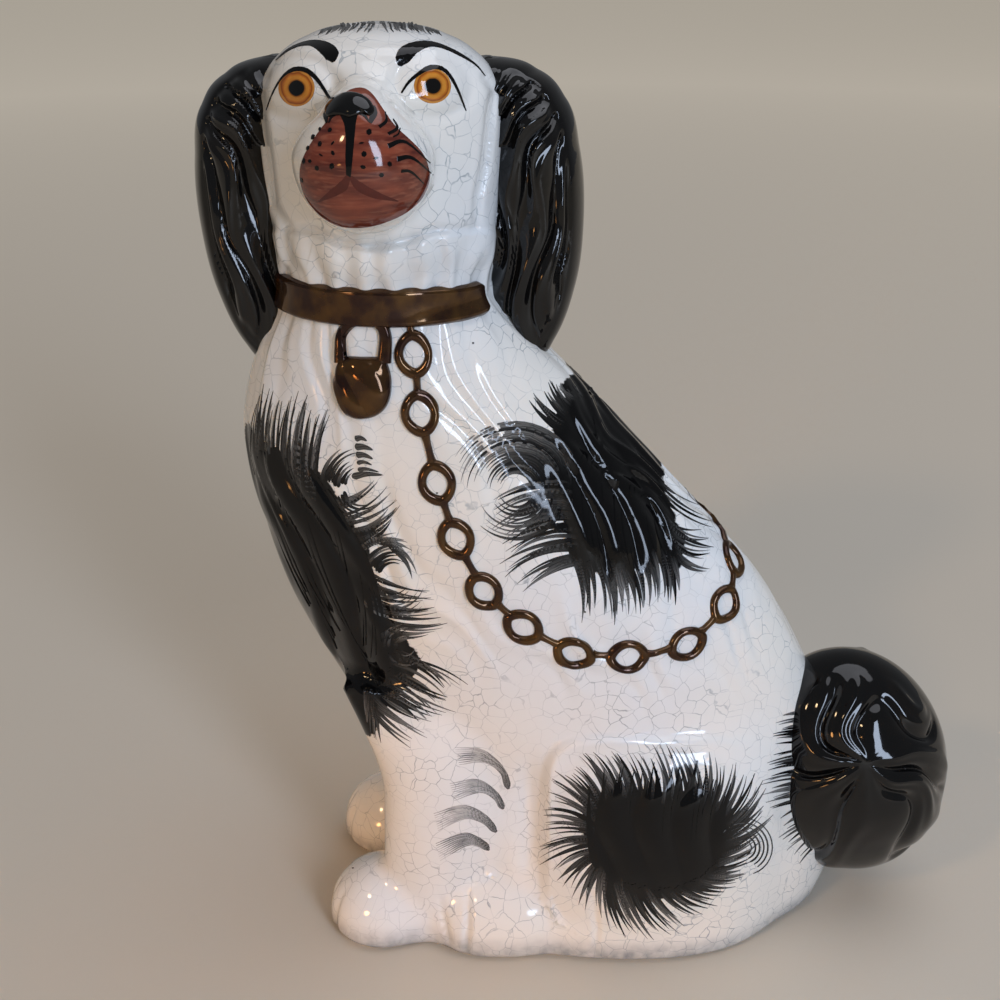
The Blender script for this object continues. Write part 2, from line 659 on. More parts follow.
# kinds of node in frequent use: type, settings, the inputs that take the values, and the output
TIMES = ("ShaderNodeMath", {"operation": "MULTIPLY"}, (0, 1), 0)
PLUS = ("ShaderNodeMath", {"operation": "ADD"}, (0, 1), 0)
MINUS = ("ShaderNodeMath", {"operation": "SUBTRACT"}, (0, 1), 0)
HIGHER = ("ShaderNodeMath", {"operation": "MAXIMUM"}, (0, 1), 0)
RANGE = ("ShaderNodeMapRange", {}, (0, 1, 2, 3, 4), 0)
MIX = ("ShaderNodeMix", {"data_type": "RGBA"}, (0, 6, 7), 2)
MESH_VALUE = ("ShaderNodeAttribute", {}, (), "Fac")
CLOUD = ("ShaderNodeTexNoise", {}, (), "Fac")


def add(tree, kind, *values, out=None, **settings):
    """Adds a node, sets its properties and its inputs, and returns one output. Values go to the
    inputs in order, or by name or number where they come as a dict; a socket is linked."""
    kind, fixed, order, first = kind if isinstance(kind, tuple) else (kind, {}, (0, 1, 2), 0)
    node = tree.nodes.new(kind)
    for key, value in {**fixed, **settings}.items():
        setattr(node, key, value)
    pairs = values[0].items() if values and isinstance(values[0], dict) else zip(order, values)
    for key, value in pairs:
        if isinstance(value, bpy.types.NodeSocket):
            tree.links.new(value, node.inputs[key])
        else:
            node.inputs[key].default_value = value
    return node.outputs[first if out is None else out]


def new_material(name, **surface):
    """A material with one Principled shader, its node tree, and that shader."""
    material = bpy.data.materials.new(name)
    material.use_nodes = True
    tree = material.node_tree
    shader = tree.nodes["Principled BSDF"]
    for key, value in surface.items():
        shader.inputs[key.replace("_", " ")].default_value = value
    return material, tree, shader


def cloudy(tree, size_mm, detail=2.0, stretch=None):
    """A noise whose features are size_mm long, on the piece's own coordinates."""
    where = add(tree, "ShaderNodeTexCoord", out="Object")
    if stretch:
        where = add(tree, "ShaderNodeMapping", {"Vector": where, "Scale": stretch})
    return add(tree, CLOUD, {"Vector": where, "Scale": 1000 / size_mm, "Detail": detail})


def crazing(tree):
    """1 on the hairline cracks of the glaze: the edges between cells of the set size, a little bent."""
    cell, width = size("craze_cell"), size("craze_width")
    where = add(tree, "ShaderNodeTexCoord", out="Object")
    bent = where
    for wave, sway in ((11.0, 0.0045), (2.6, 0.0011)):
        bend = add(tree, CLOUD, {"Vector": where, "Scale": 1000 / wave, "Detail": 1.0}, out="Color")
        bent = add(tree, "ShaderNodeVectorMath", bend, (sway, sway, sway), bent, operation="MULTIPLY_ADD")
    edge = add(
        tree, "ShaderNodeTexVoronoi", {"Vector": bent, "Scale": 1000 / cell, "Randomness": 0.95},
        out="Distance", feature="DISTANCE_TO_EDGE",
    )
    return add(tree, RANGE, edge, 0.2 * width / cell, 1.5 * width / cell, 1.0, 0.0)


def white_ground(tree):
    """The white ware under its clear glaze: cool and warm clouds, crossed by grey-blue crazing."""
    cloud = add(tree, RANGE, cloudy(tree, 95.0, 1.0), 0.38, 0.62)
    base = add(tree, MIX, cloud, tint("white_cool"), tint("white_warm"))
    strength = add(tree, RANGE, cloudy(tree, 30.0, 2.0), 0.38, 0.62, 0.2, 0.78)
    broken = add(tree, RANGE, cloudy(tree, 5.0), 0.35, 0.55, 0.35, 1.0)
    lines = add(tree, TIMES, crazing(tree), add(tree, TIMES, strength, broken))
    return add(tree, MIX, lines, base, tint("craze_line"))


def glaze(tree, shader, colour, depth_mm=0.09):
    """Gives the shader its colour, and the faint unevenness of a flowed glaze."""
    tree.links.new(colour, shader.inputs["Base Color"])
    height = cloudy(tree, 6.5, 2.0)
    bump = add(tree, "ShaderNodeBump", {"Height": height, "Distance": depth_mm * MM, "Strength": 1.0})
    tree.links.new(bump, shader.inputs["Normal"])


BLACK_SHEEN = 0.3      # specular level of the black enamel, whose glaze is thinner than the white's


def glazed_white():
    """White earthenware, tin-white under clear lead glaze: bright, wet-looking, with fine crazing.
    Where the mesh's ink value is above 0, black enamel covers it, with a brushed edge."""
    material, tree, shader = new_material("crazed_white_earthenware_glaze", Roughness=0.07, IOR=1.5)
    ground = white_ground(tree)
    ink = add(tree, MESH_VALUE, attribute_name="ink")
    edge = add(tree, PLUS, ink, add(tree, RANGE, cloudy(tree, 2.2), 0.3, 0.7, -0.5, 0.5))
    black = add(tree, RANGE, edge, -0.2, 0.25)
    brushed = add(tree, MESH_VALUE, attribute_name="wash")
    wash = add(tree, TIMES, brushed, add(tree, RANGE, cloudy(tree, 4.0), 0.3, 0.7, 0.5, 1.0))
    colour = add(tree, MIX, wash, ground, tint("wash"))
    colour = add(tree, MIX, black, colour, tint("black"))
    tree.links.new(add(tree, RANGE, black, 0.0, 1.0, 0.5, BLACK_SHEEN), shader.inputs["Specular IOR Level"])
    glaze(tree, shader, colour)
    return material


def glazed_black():
    """Black enamel under clear glaze, brushed on thick: deep, wet, a little brown where it thins."""
    material, tree, shader = new_material(
        "black_enamel_under_glaze", Roughness=0.06, IOR=1.5, Specular_IOR_Level=0.42,
    )
    thin = add(tree, RANGE, cloudy(tree, 14.0, 3.0), 0.55, 0.75, 0.0, 0.6)
    glaze(tree, shader, add(tree, MIX, thin, tint("black"), linear("#14100D")))
    return material


def brushed_enamel():
    """Black enamel in single brush strokes over the white ware. The load value of each stroke says
    how much of the white shows through."""
    material, tree, shader = new_material(
        "brushed_black_enamel", Roughness=0.07, IOR=1.5, Specular_IOR_Level=BLACK_SHEEN,
    )
    load = add(tree, MESH_VALUE, attribute_name="load")
    across = add(tree, MESH_VALUE, attribute_name="across")
    drift = add(tree, RANGE, cloudy(tree, 9.0), 0.3, 0.7, 0.0, 3.0)
    place = add(tree, "ShaderNodeMath", across, 5.0, drift, operation="MULTIPLY_ADD")
    bristles = add(tree, CLOUD, {"W": place, "Scale": 1.0, "Detail": 1.0}, noise_dimensions="1D")
    dry = add(tree, TIMES, add(tree, RANGE, bristles, 0.35, 0.65, -1.2, 0.5), add(tree, MINUS, 1.0, load))
    cover = add(tree, PLUS, load, dry, use_clamp=True)
    glaze(tree, shader, add(tree, MIX, cover, white_ground(tree), tint("black")))
    return material


def copper_lustre():
    """Copper lustre over brown glaze: a thin metal film, dark brown with a pinkish copper sheen."""
    material, tree, shader = new_material("copper_lustre_on_brown_glaze", Roughness=0.1, Metallic=0.62)
    pool = add(tree, RANGE, cloudy(tree, 7.0, 2.0), 0.35, 0.65)
    glaze(tree, shader, add(tree, MIX, pool, tint("lustre_dark"), tint("lustre_light")), 0.08)
    return material


def terracotta_enamel():
    """Iron-red enamel on the muzzle, streaked by the brush: terracotta, darker at the outline."""
    material, tree, shader = new_material("iron_red_enamel", Roughness=0.08, IOR=1.5)
    streak = add(tree, RANGE, cloudy(tree, 7.0, 3.0, (0.35, 1.0, 2.6)), 0.35, 0.65)
    colour = add(tree, MIX, streak, tint("iron_red_dark"), tint("iron_red_light"))
    fine = add(tree, RANGE, cloudy(tree, 1.6, 2.0, (0.16, 0.6, 1.7)), 0.5, 0.72, 0.0, 0.5)
    colour = add(tree, MIX, fine, colour, linear("#A0624B"))
    radius = add(tree, MESH_VALUE, attribute_name="radius")
    rim = add(tree, RANGE, radius, 0.86, 1.0, 0.0, 0.55)
    glaze(tree, shader, add(tree, MIX, rim, colour, tint("iron_red_dark")))
    return material


def amber_enamel():
    """The painted eye: black pupil, orange-yellow iris with a brown ring near its rim."""
    material, tree, shader = new_material("amber_eye_enamel", Roughness=0.06, IOR=1.5)
    radius = add(tree, MESH_VALUE, attribute_name="radius")
    wobble = add(tree, RANGE, cloudy(tree, 4.5, 1.0), 0.35, 0.65, -0.05, 0.05)
    shade = add(tree, "ShaderNodeValToRGB", add(tree, PLUS, radius, add(tree, TIMES, wobble, radius)))
    stops = [
        (0.0, "#050404"), (0.4, "#050404"), (0.44, "#8A5216"), (0.52, "#C98530"), (0.66, "#D08A32"),
        (0.76, "#B5651C"), (0.83, "#7E3F10"), (0.87, "#C07B2C"), (0.95, "#D3933F"), (1.0, "#9A5A1C"),
    ]
    bands = shade.node.color_ramp.elements
    while len(bands) < len(stops):
        bands.new(1.0)
    for band, (place, code) in zip(bands, stops):
        band.position = place
        band.color = linear(code)
    cloud = add(tree, RANGE, cloudy(tree, 3.0, 2.0), 0.35, 0.65, 0.0, 0.3)
    cloud = add(tree, TIMES, cloud, add(tree, RANGE, radius, 0.42, 0.5))
    tree.links.new(add(tree, MIX, cloud, shade, linear("#8A4512")), shader.inputs["Base Color"])
    return material


def bare_biscuit():
    """Unglazed earthenware under the foot: matt, cream, dusty with use."""
    material, tree, shader = new_material("bare_biscuit_clay", Roughness=0.85)
    dust = add(tree, RANGE, cloudy(tree, 12.0, 5.0), 0.35, 0.65)
    tree.links.new(add(tree, MIX, dust, tint("biscuit"), linear("#B5A68C")), shader.inputs["Base Color"])
    grain = cloudy(tree, 0.8, 3.0)
    bump = add(tree, "ShaderNodeBump", {"Height": grain, "Distance": 0.1 * MM, "Strength": 0.6})
    tree.links.new(bump, shader.inputs["Normal"])
    return material


def enamel_red():
    """Dark iron-red enamel of the mouth."""
    material, tree, shader = new_material("dark_iron_red_enamel", Roughness=0.08, IOR=1.5)
    colour = add(tree, MIX, cloudy(tree, 3.0), linear("#3E100A"), linear("#5E1E12"))
    tree.links.new(colour, shader.inputs["Base Color"])
    return material


FINISHES = {}


def finish(maker):
    """The material that a function makes; each is made once."""
    if maker not in FINISHES:
        FINISHES[maker] = maker()
    return FINISHES[maker]


# ---- Painting ----------------------------------------------------------------
CHEST_INK = [
    (245, 432), (256, 434), (268, 444), (280, 454), (292, 462), (306, 468), (318, 472), (328, 482),
    (335, 494), (345, 508), (353, 524), (364, 543), (373, 558), (373, 578), (379, 600), (394, 625),
    (412, 646), (420, 660), (409, 684), (396, 698), (385, 711), (379, 722), (372, 736), (340, 720),
    (290, 640), (245, 560),
]
BACK_INK = [
    (560, 388), (566, 398), (557, 412), (553, 430), (556, 454), (552, 482), (560, 508), (565, 532),
    (572, 552), (584, 570), (598, 574), (608, 569), (626, 584), (639, 565), (657, 562), (670, 572),
    (682, 562), (684, 541), (677, 522), (671, 504), (665, 485), (664, 466), (670, 440), (640, 400),
    (600, 370), (575, 372),
]
HAUNCH_INK = [
    (581, 822), (584, 804), (604, 792), (630, 787), (659, 791), (687, 791), (711, 798), (731, 808),
    (736, 831), (729, 857), (720, 874), (696, 890), (667, 899), (632, 895), (607, 884), (594, 863),
    (586, 843),
]
RUMP_INK = [
    (826, 636), (812, 662), (817, 700), (808, 735), (804, 775), (803, 805), (810, 835), (826, 860),
    (850, 868), (905, 800), (905, 640), (850, 622),
]


BODY_INKS = (CHEST_INK, BACK_INK, HAUNCH_INK, RUMP_INK)
INK_FOOT = (80.0, 120.0, 14.0, 14.0)   # mm: how low each mass may reach; the chest's ends where the legs part
NO_INK = -9.0                          # mm: so far outside every mass that nothing is black
WASH_TOP = 13.0                        # mm: where the grey wash round the foot ends


def ink_on(p):
    """Mm inside the black masses of the body, the same on its far side: the greatest of the distances
    inside their outlines, each at most the height over the mass's foot."""
    q = seen(near_side(p))
    inside = [inside_outline(q, outline) / PIXELS_PER_MM for outline in BODY_INKS]
    return np.maximum.reduce([np.minimum(mass, p[..., 2] - foot) for mass, foot in zip(inside, INK_FOOT)])


def wash_on(p):
    """Share of grey wash: an S-curve of the height, darkest at the table, clouded by noise."""
    return 0.9 * (1 - step(p[..., 2], 2.5, WASH_TOP)) * (0.8 + 0.2 * np.clip(noise(p, 30, 31), -1, 1))


# ---- The skin ----------------------------------------------------------------
VENT_X = 22.0          # mm
VENT_RADIUS = 8.0
FLOOR_BOTTOM = 0.3     # a little above the slab's underside, so that the slab shows
FLOOR_TOP = 7.0
WALL_FOOT = 8.0        # the lowest row of the inner wall
WALL_ROWS = 14
BODY_REACH = 150.0     # longer than any ray from the body's axis to its skin


def body_half(name, node, turns, heights):
    """One pressed half of the body: rows of level rays out of the body's own axis, whose bearings are
    the turns of each height's oval, and the inner wall, the same rays less the wall's thickness, which
    comes back down, so that the half is one closed shell."""
    front, back, half, _ = np.moveaxis(sections_at(STACK, heights), -1, 0)
    origins = np.stack([(front + back) / 2, 0 * heights, heights], -1)[:, None]
    across, deep = ((back - front) / 2)[:, None] * np.cos(turns), half[:, None] * np.sin(turns)
    ways = unit(np.stack([across, deep, 0 * deep], -1))
    origins = np.broadcast_to(origins, ways.shape)
    share = own_part(BODY_FORMS, ("stack", "haunch"), body_relief)
    outer = cast(share, origins, ways, BODY_REACH)
    normals = slope_of(share, outer)
    reach = np.linalg.norm(outer - origins, axis=-1)
    lowest = np.searchsorted(heights, WALL_FOOT)
    picked = np.unique(np.linspace(lowest, len(heights) - 1, WALL_ROWS).astype(int))
    inner = origins[picked] + ways[picked] * (reach[picked] - size("wall"))[..., None]
    # the floor round the slab: in from the wall to the vent, and down through it to the foot
    inner[0, :, 2] = FLOOR_TOP
    vent = np.stack([VENT_X + VENT_RADIUS * np.cos(turns), VENT_RADIUS * np.sin(turns), 0 * turns], -1)
    vents = np.stack([vent + (0, 0, FLOOR_BOTTOM), vent + (0, 0, FLOOR_TOP)])
    inner = np.concatenate([vents, inner])
    facing = np.concatenate([np.broadcast_to([[[0, 0, -1.0]], [[0, 0, 1.0]]], vents.shape), -ways[picked]])
    grid = np.concatenate([outer, inner[::-1]])
    bent = np.concatenate([normals, facing[::-1]])
    ids = numbered(*grid.shape[:2])
    faces = [quads_of(np.vstack([ids, ids[:1]]))]
    # the seam is closed in short lengths between the skin and the wall
    wall = ids[len(heights):][::-1]
    for low, high, k in zip([0, *picked[:-1]], picked, range(2, len(picked) + 2)):
        ring = np.vstack([ids[low:high + 1], wall[(0 if k == 2 else k - 1):k + 1][::-1]])
        faces += [ring[:, 0][None], ring[::-1, -1][None]]
    ink = np.concatenate([ink_on(outer), np.full(inner.shape[:2], NO_INK)])
    wash = np.concatenate([wash_on(outer), np.zeros(inner.shape[:2])])
    clay = Clay()
    clay.add(grid.reshape(-1, 3), bent.reshape(-1, 3), faces, ink=ink.reshape(-1), wash=wash.reshape(-1))
    clay.make(name, finish(glazed_white), "white_glaze", [node])


FOOT_HEIGHTS = [0.0, 0.1, 0.3, 0.6, 1.0, 1.5, 2.2, 3.1]   # mm: close together where the skin rolls under


def body():
    """Both halves of the body, the far one on a coarser grid: half a turn of even bearings each."""
    for side, start, turns, rows in (("near", math.pi, 300, 225), ("far", 0, 220, 165)):
        heights = np.concatenate([FOOT_HEIGHTS, np.linspace(4, NECK_Z + 1, rows)])
        bearings = np.linspace(start, start + math.pi, turns)
        body_half(f"{side}_body_skin", f"body_{side}_shell", bearings, heights)


FAR_FINENESS = 0.7     # how fine the far limbs' grids are beside the near ones'
LIMB_REACH = 90.0


def limb(clay, side, form, low, high, axis, first, counts):
    """Adds one form's share of the skin to a piece: a closed fan of rays from its own middle line. counts
    are its columns, the rows along the line, and those of both poles."""
    skin = own_part(BODY_FORMS, (form,), body_relief)
    flip = np.array([1, 1 if side == "near" else -1, 1])

    def share(p):
        """The form's distance cut off at the body's long seam: the greater of both."""
        return np.maximum(skin(p), p[..., 1] * flip[1])

    turns = np.linspace(0, 2 * math.pi, counts[0], endpoint=False)
    origins, ways = fan(low, high, axis, first, turns, counts[1], counts[2:])
    origins, ways = origins * flip, ways * flip
    grid = cast(share, origins, ways, LIMB_REACH)
    poles = (counts[2] > 0, counts[3] > 0)
    clay.add_closed(grid, slope_of(share, grid), poles, ink=ink_on(grid), wash=wash_on(grid))


# mm, on the near side: both ends of the line that each limb's rays start from
LEG_BONE = ((-64, -26, 0), (-75, -25, 100))
PAW_MIDDLE = ((-80, -25.5, 4), (-80, -25.5, 6))
HIND_MIDDLE = ((-37, -30.5, 4), (-37, -30.5, 6))
HOCK_BONE = ((-28, -27, 5), (36, -27, 5))


def forelegs():
    """Each foreleg: level rays out of its bone, and a dome of rays out of its paw."""
    for side in ("near", "far"):
        clay = Clay()
        fine = 1.0 if side == "near" else FAR_FINENESS
        rows, paw_rows = int(105 * fine), int(42 * fine)
        limb(clay, side, "leg", *LEG_BONE, Z_AXIS, X_AXIS, (int(130 * fine), rows, 0, 10))
        limb(clay, side, "paw", *PAW_MIDDLE, Z_AXIS, X_AXIS, (int(150 * fine), 3, 14, paw_rows))
        clay.make(f"{side}_foreleg_skin", finish(glazed_white), "white_glaze", [f"{side}_foreleg"])


def hind_feet():
    """Each hind foot: a dome of rays out of its paw, and rays round the long bone of the hock."""
    for side in ("near", "far"):
        clay = Clay()
        fine = 1.0 if side == "near" else FAR_FINENESS
        rows, paw_rows = int(80 * fine), int(46 * fine)
        limb(clay, side, "hind", *HIND_MIDDLE, Z_AXIS, X_AXIS, (int(170 * fine), 3, 14, paw_rows))
        limb(clay, side, "hock", *HOCK_BONE, X_AXIS, Z_AXIS, (int(120 * fine), rows, 14, 16))
        clay.make(f"{side}_hind_foot_skin", finish(glazed_white), "white_glaze", [f"{side}_hind_foot"])


HEAD_AXIS = ((HEAD_AXIS_X, 0, NECK_Z - 1), (HEAD_AXIS_X, -2, 288))
HEAD_REACH = 80.0
MUZZLE_MIDDLE = (-77.5, -35, 287.5)
MUZZLE_REACH = 60.0


def head_half(clay, turns, side_rows, cap_rows):
    """Half of the head: level rays up its axis, then over the crown to a pole, closed at the seam."""
    share = own_part(HEAD_FORMS, ("stack",), head_relief)
    origins, ways = fan(*HEAD_AXIS, Z_AXIS, X_AXIS, turns, side_rows, (0, cap_rows))
    grid = cast(share, origins, ways, HEAD_REACH)
    normals = slope_of(share, grid)
    rows, cols = grid.shape[:2]
    ids = numbered(rows, cols)
    top = quads_of(ids[:-1])
    tip = np.stack([ids[-2, :-1], ids[-2, 1:], np.full(cols - 1, ids[-1, 0])], -1)
    seam = np.stack([ids[:-2, 0], ids[1:-1, 0], ids[1:-1, -1], ids[:-2, -1]], -1)
    peak = np.array([[ids[-2, 0], ids[-1, 0], ids[-2, -1]]])
    keep = np.ones(rows * cols, bool)
    keep[ids[-1, 1:]] = False
    renumber = np.cumsum(keep) - 1
    faces = [renumber[f] for f in (top, tip, seam, peak, ids[0][None, ::-1])]
    flat = np.full(keep.sum(), NO_INK)
    clay.add(grid.reshape(-1, 3)[keep], normals.reshape(-1, 3)[keep], faces, ink=flat, wash=0 * flat)


def head():
    """The face half with the muzzle's own dome of rays, and the back half."""
    face = Clay()
    head_half(face, np.linspace(math.pi, 2 * math.pi, 250), 104, 110)
    share = own_part(HEAD_FORMS, ("muzzle",), head_relief)
    turns = np.linspace(0, 2 * math.pi, 220, endpoint=False)
    origins, ways = fan(MUZZLE_MIDDLE, MUZZLE_MIDDLE, (0, -1, 0), X_AXIS, turns, 2, (8, 76))
    grid = cast(share, origins, ways, MUZZLE_REACH)
    none = np.full(grid.shape[:2], NO_INK)
    face.add_closed(grid, slope_of(share, grid), (True, True), ink=none, wash=0 * none)
    face.make("face_skin", finish(glazed_white), "white_glaze", ["head_face_shell"])
    rear = Clay()
    head_half(rear, np.linspace(0, math.pi, 160), 60, 64)
    rear.make("back_of_head_skin", finish(glazed_white), "white_glaze", ["head_back_shell"])


# ---- Ears and tail -----------------------------------------------------------
RIGHT_EAR = [(z, HEAD_AXIS_X - far, HEAD_AXIS_X - near, d, y) for z, far, near, d, y in EAR]
EAR_LOCK = 8.0         # mm between the locks of an ear
EAR_FINE = 3.4         # mm between the ridges on them
EAR_HANG = ((-116, 2, 228), (-116, 8, 296))   # mm: the line that an ear's rays start from
EAR_REACH = 60.0


def ear_distance(p):
    """Distance outside the right ear: its ovals, less the locks that hang down its front in S-curves,
    and a smooth band along its outer edge."""
    x, z = p[..., 0], p[..., 2]
    outward = HEAD_AXIS_X - x
    outer = sections_at(EAR, z)[..., 0]
    inward = outer - outward
    band = step(inward, 4.0, 7.5)
    fall = outward + 4.5 * np.sin((z - 214) / 9.5) - 34 * step(z, 262, 318)
    sway = 0.42 * noise(p * np.array([1, 1, 0.6]), 20, 41)
    lock = bulges(2 * math.pi * (fall / EAR_LOCK + sway))
    fine = np.sin(2 * math.pi * (fall / EAR_FINE + 1.6 * sway))
    locks = 1.35 * lock + 0.25 * fine - 0.9
    groove = -0.8 * np.exp(-(((inward - 5.6) / 1.5) ** 2))
    fade = step(z, 216, 226) * (1 - step(z, 300, 309))
    return stacked_ovals(p, RIGHT_EAR) - fade * (band * locks + groove) - 0.2


def swung(p, back=False):
    """Right ear's points on the left ear: mirrored in the head's axis, then swung out; or back again."""
    turn = LEFT_EAR_SWING if back else -LEFT_EAR_SWING
    c, s = math.cos(turn), math.sin(turn)
    if not back:
        p = p * np.array([-1, 1, 1]) + np.array([2 * HEAD_AXIS_X, 0, 0])
    x, z = p[..., 0] - EAR_ROOT[0], p[..., 2] - EAR_ROOT[1]
    p = np.stack([x * c + z * s + EAR_ROOT[0], p[..., 1], z * c - x * s + EAR_ROOT[1]], -1)
    if back:
        p = p * np.array([-1, 1, 1]) + np.array([2 * HEAD_AXIS_X, 0, 0])
    return p


def ears():
    """Each ear: a fan of rays round its own hanging axis."""
    turns = np.linspace(0, 2 * math.pi, 200, endpoint=False)
    origins, ways = fan(*EAR_HANG, Z_AXIS, X_AXIS, turns, 130, (30, 34))
    right = cast(ear_distance, origins, ways, EAR_REACH)

    def left_distance(p):
        """The right ear's distance at the twin points."""
        return ear_distance(swung(p, back=True))

    pair = (("right_ear", right, ear_distance), ("left_ear", swung(right), left_distance))
    for node, grid, distance in pair:
        clay = Clay()
        clay.add_closed(grid, slope_of(distance, grid))
        clay.make(f"{node}_skin", finish(glazed_black), "black_glaze", [node])


TAIL_SWIRL = (866.0, 765.0)   # pixels
TAIL_PIXELS_PER_MM = 3.2
TAIL_LOCKS = 6
TAIL_REACH = 80.0


def tail_distance(p):
    """Distance outside the tail: a leaning ball, less locks that wind out of a swirl on its side, which
    are bulges of the bearing round the swirl, turned further the farther out they are."""
    aside = np.array([0, -TAIL[0][1], 0])
    q = seen(p * np.array([1, 0, 1]) - np.abs(p + aside) * np.array([0, 1, 0]) - aside)
    u = (q[..., 0] - TAIL_SWIRL[0]) / TAIL_PIXELS_PER_MM
    v = (TAIL_SWIRL[1] - q[..., 1]) / TAIL_PIXELS_PER_MM
    away = np.hypot(u, v) + 1e-6
    bearing = np.arctan2(v, u)
    wind = bearing * TAIL_LOCKS + 1.2 * np.sin(2 * bearing + 0.8)
    wind = wind + 4.4 * step(away, 0, 27) + 2.4 * noise(p, 26, 51)
    lock = bulges(wind, 0.8)
    fine = np.sin(3 * wind + 1.2)
    body = stretched_ball(p, TAIL, 2.0, TAIL_LEAN)
    rim = step(np.abs(p[..., 1] + aside[1]), 7, 14)
    fade = step(away, 1, 12)
    return body - rim * fade * (1.5 * lock + 0.2 * fine - 0.8) + 0.3


def tail():
    """The tail: a ball of rays out of its middle."""
    turns = np.linspace(0, 2 * math.pi, 330, endpoint=False)
    origins, ways = fan(TAIL[0], TAIL[0], Z_AXIS, X_AXIS, turns, 1, (110, 110))
    grid = cast(tail_distance, origins, ways, TAIL_REACH)
    clay = Clay()
    clay.add_closed(grid, slope_of(tail_distance, grid))
    clay.make("tail_skin", finish(glazed_black), "black_glaze", ["tail"])


# ---- Raised and painted details laid on the skin -----------------------------
def surface_normals(grid, around_rows=False, around_cols=False):
    """Unit normals of a grid of points, from the cross product of its row and column steps."""
    def along(axis, wraps):
        """Each point's step along the grid: from its last neighbour to its next."""
        if wraps:
            return np.roll(grid, -1, axis) - np.roll(grid, 1, axis)
        return np.gradient(grid, axis=axis)
    out = np.cross(along(grid.ndim - 2, around_cols), along(grid.ndim - 3, around_rows))
    return unit(out)


def laid_patch(clay, distance, base, height, sink):
    """Adds a patch whose top stands off the skin by height and whose underside is sunk in it: the base,
    a grid of points on the skin, plus and less the skin's slope times both. Its rim is at about 0."""
    out = slope_of(distance, base)
    top = base + out * height[..., None]
    under = base - out * sink
    ids = numbered(*height.shape)
    low = ids + ids.size
    rim = np.concatenate([ids[0, :-1], ids[:-1, -1], ids[-1, :0:-1], ids[:0:-1, 0]])
    next_rim = np.roll(rim, -1)
    sides = np.stack([rim, next_rim, next_rim + ids.size, rim + ids.size], -1)
    normals = surface_normals(top)
    normals *= np.sign((normals * out).sum(-1, keepdims=True))
    clay.add(
        np.concatenate([top, under]).reshape(-1, 3), np.concatenate([normals, -out]).reshape(-1, 3),
        [quads_of(ids)[:, ::-1], quads_of(low), sides],
    )


def on_ball(pixels, ball):
    """Where the photo's rays meet a ball, or pass it most closely: the nearer root of a quadratic."""
    radii = np.asarray(ball[1], float)
    ways = sight(np.asarray(pixels, float))
    o, d = (EYE - np.asarray(ball[0], float)) / radii, ways / radii
    dd, od = (d * d).sum(-1), (d @ o)
    t = (-od - np.sqrt(np.maximum(od**2 - dd * ((o * o).sum() - 1), 0))) / dd
    return EYE + ways * t[..., None]


def laid_disc(
    clay, distance, centre, outline, height, rings, sectors, sink=0.5, own_normals=False, ball=None,
):
    """Adds a round patch: rays of the photo from a centre pixel out to an outline, laid on the skin.
    height is a function of the share of the way out, which the mesh keeps as its radius value."""
    edge = curve_through(outline, sectors, closed=True)
    share = np.linspace(0, 1, rings) ** 0.9
    pixels = np.asarray(centre, float) + share[:, None, None] * (edge - np.asarray(centre, float))
    base = on_skin(distance, pixels)[0] if ball is None else settle(distance, on_ball(pixels, ball), 7)
    out = slope_of(distance, base)
    top = base + out * height(share)[:, None, None]
    normals = out
    if own_normals:
        normals = surface_normals(top, around_cols=True)
        normals *= np.sign((normals * out).sum(-1, keepdims=True))
        normals[0] = out[0]
    under = base - out * sink
    radius = np.broadcast_to(share[:, None], base.shape[:2])
    clay.add_closed(
        np.concatenate([top, under[::-1]]), np.concatenate([normals, -out[::-1]]), (True, True),
        radius=np.concatenate([radius, radius[::-1]]),
    )


def ring_outline(centre, radii, count=24):
    """An ellipse of pixels."""
    t = np.linspace(0, 2 * math.pi, count, endpoint=False)
    return np.stack([centre[0] + radii[0] * np.cos(t), centre[1] + radii[1] * np.sin(t)], -1)


MUZZLE_OUTLINE = [
    (361, 86), (344, 90), (330, 101), (323, 117), (316, 127), (309, 139), (302.5, 154), (298.5, 171),
    (300, 187), (308, 204), (322, 219), (339, 227.5), (361, 229), (382, 225), (405, 215), (420, 203),
    (427.5, 192), (431, 180), (430, 168), (424, 151), (413, 136), (399, 122), (386, 105), (373, 91),
]
NOSE_OUTLINE = [
    (350, 92.5), (339, 95), (329, 101), (324.5, 110), (327, 117), (335, 116), (342, 116), (349, 118),
    (356, 116), (363, 114), (370, 116), (374.5, 111), (371, 102), (362, 95),
]


def flat_film(share):
    """A film of enamel: 0.07 mm proud, whose edge dips into the glaze."""
    return np.where(share > 0.985, -0.05, 0.07)


def face_paint():
    """The iron-red muzzle, the amber eyes and the black nose."""
    muzzle = Clay()
    laid_disc(muzzle, head_distance, (362, 165), MUZZLE_OUTLINE, flat_film, 76, 220, ball=MUZZLE)
    muzzle.make("muzzle_enamel", finish(terracotta_enamel), "white_glaze", [])
    eyes = Clay()
    for centre, radii in EYES:
        laid_disc(eyes, head_distance, centre, ring_outline(centre, radii), flat_film, 34, 96)
    eyes.make("eye_enamel", finish(amber_enamel), "white_glaze", [])
    nose = Clay()
    laid_disc(
        nose, head_distance, (350, 105), NOSE_OUTLINE,
        lambda s: np.where(s > 0.99, -0.15, 1.5 * np.sqrt(np.clip(1 - s**2.6, 0, 1))), 26, 110, 0.6, True,
    )
    nose.make("nose_enamel", finish(glazed_black), "black_glaze", [])


# ---- collar, padlock and chain -----------------------------------------------
COLLAR_CORNER = 3.0
COLLAR_ROLL = 1.5      # how wide its rounded edge is
COLLAR_ENDS = (math.radians(196), math.radians(333))
NECK_GIRTH = 34.0      # mm round the neck to a radian
NECK_REACH = 70.0


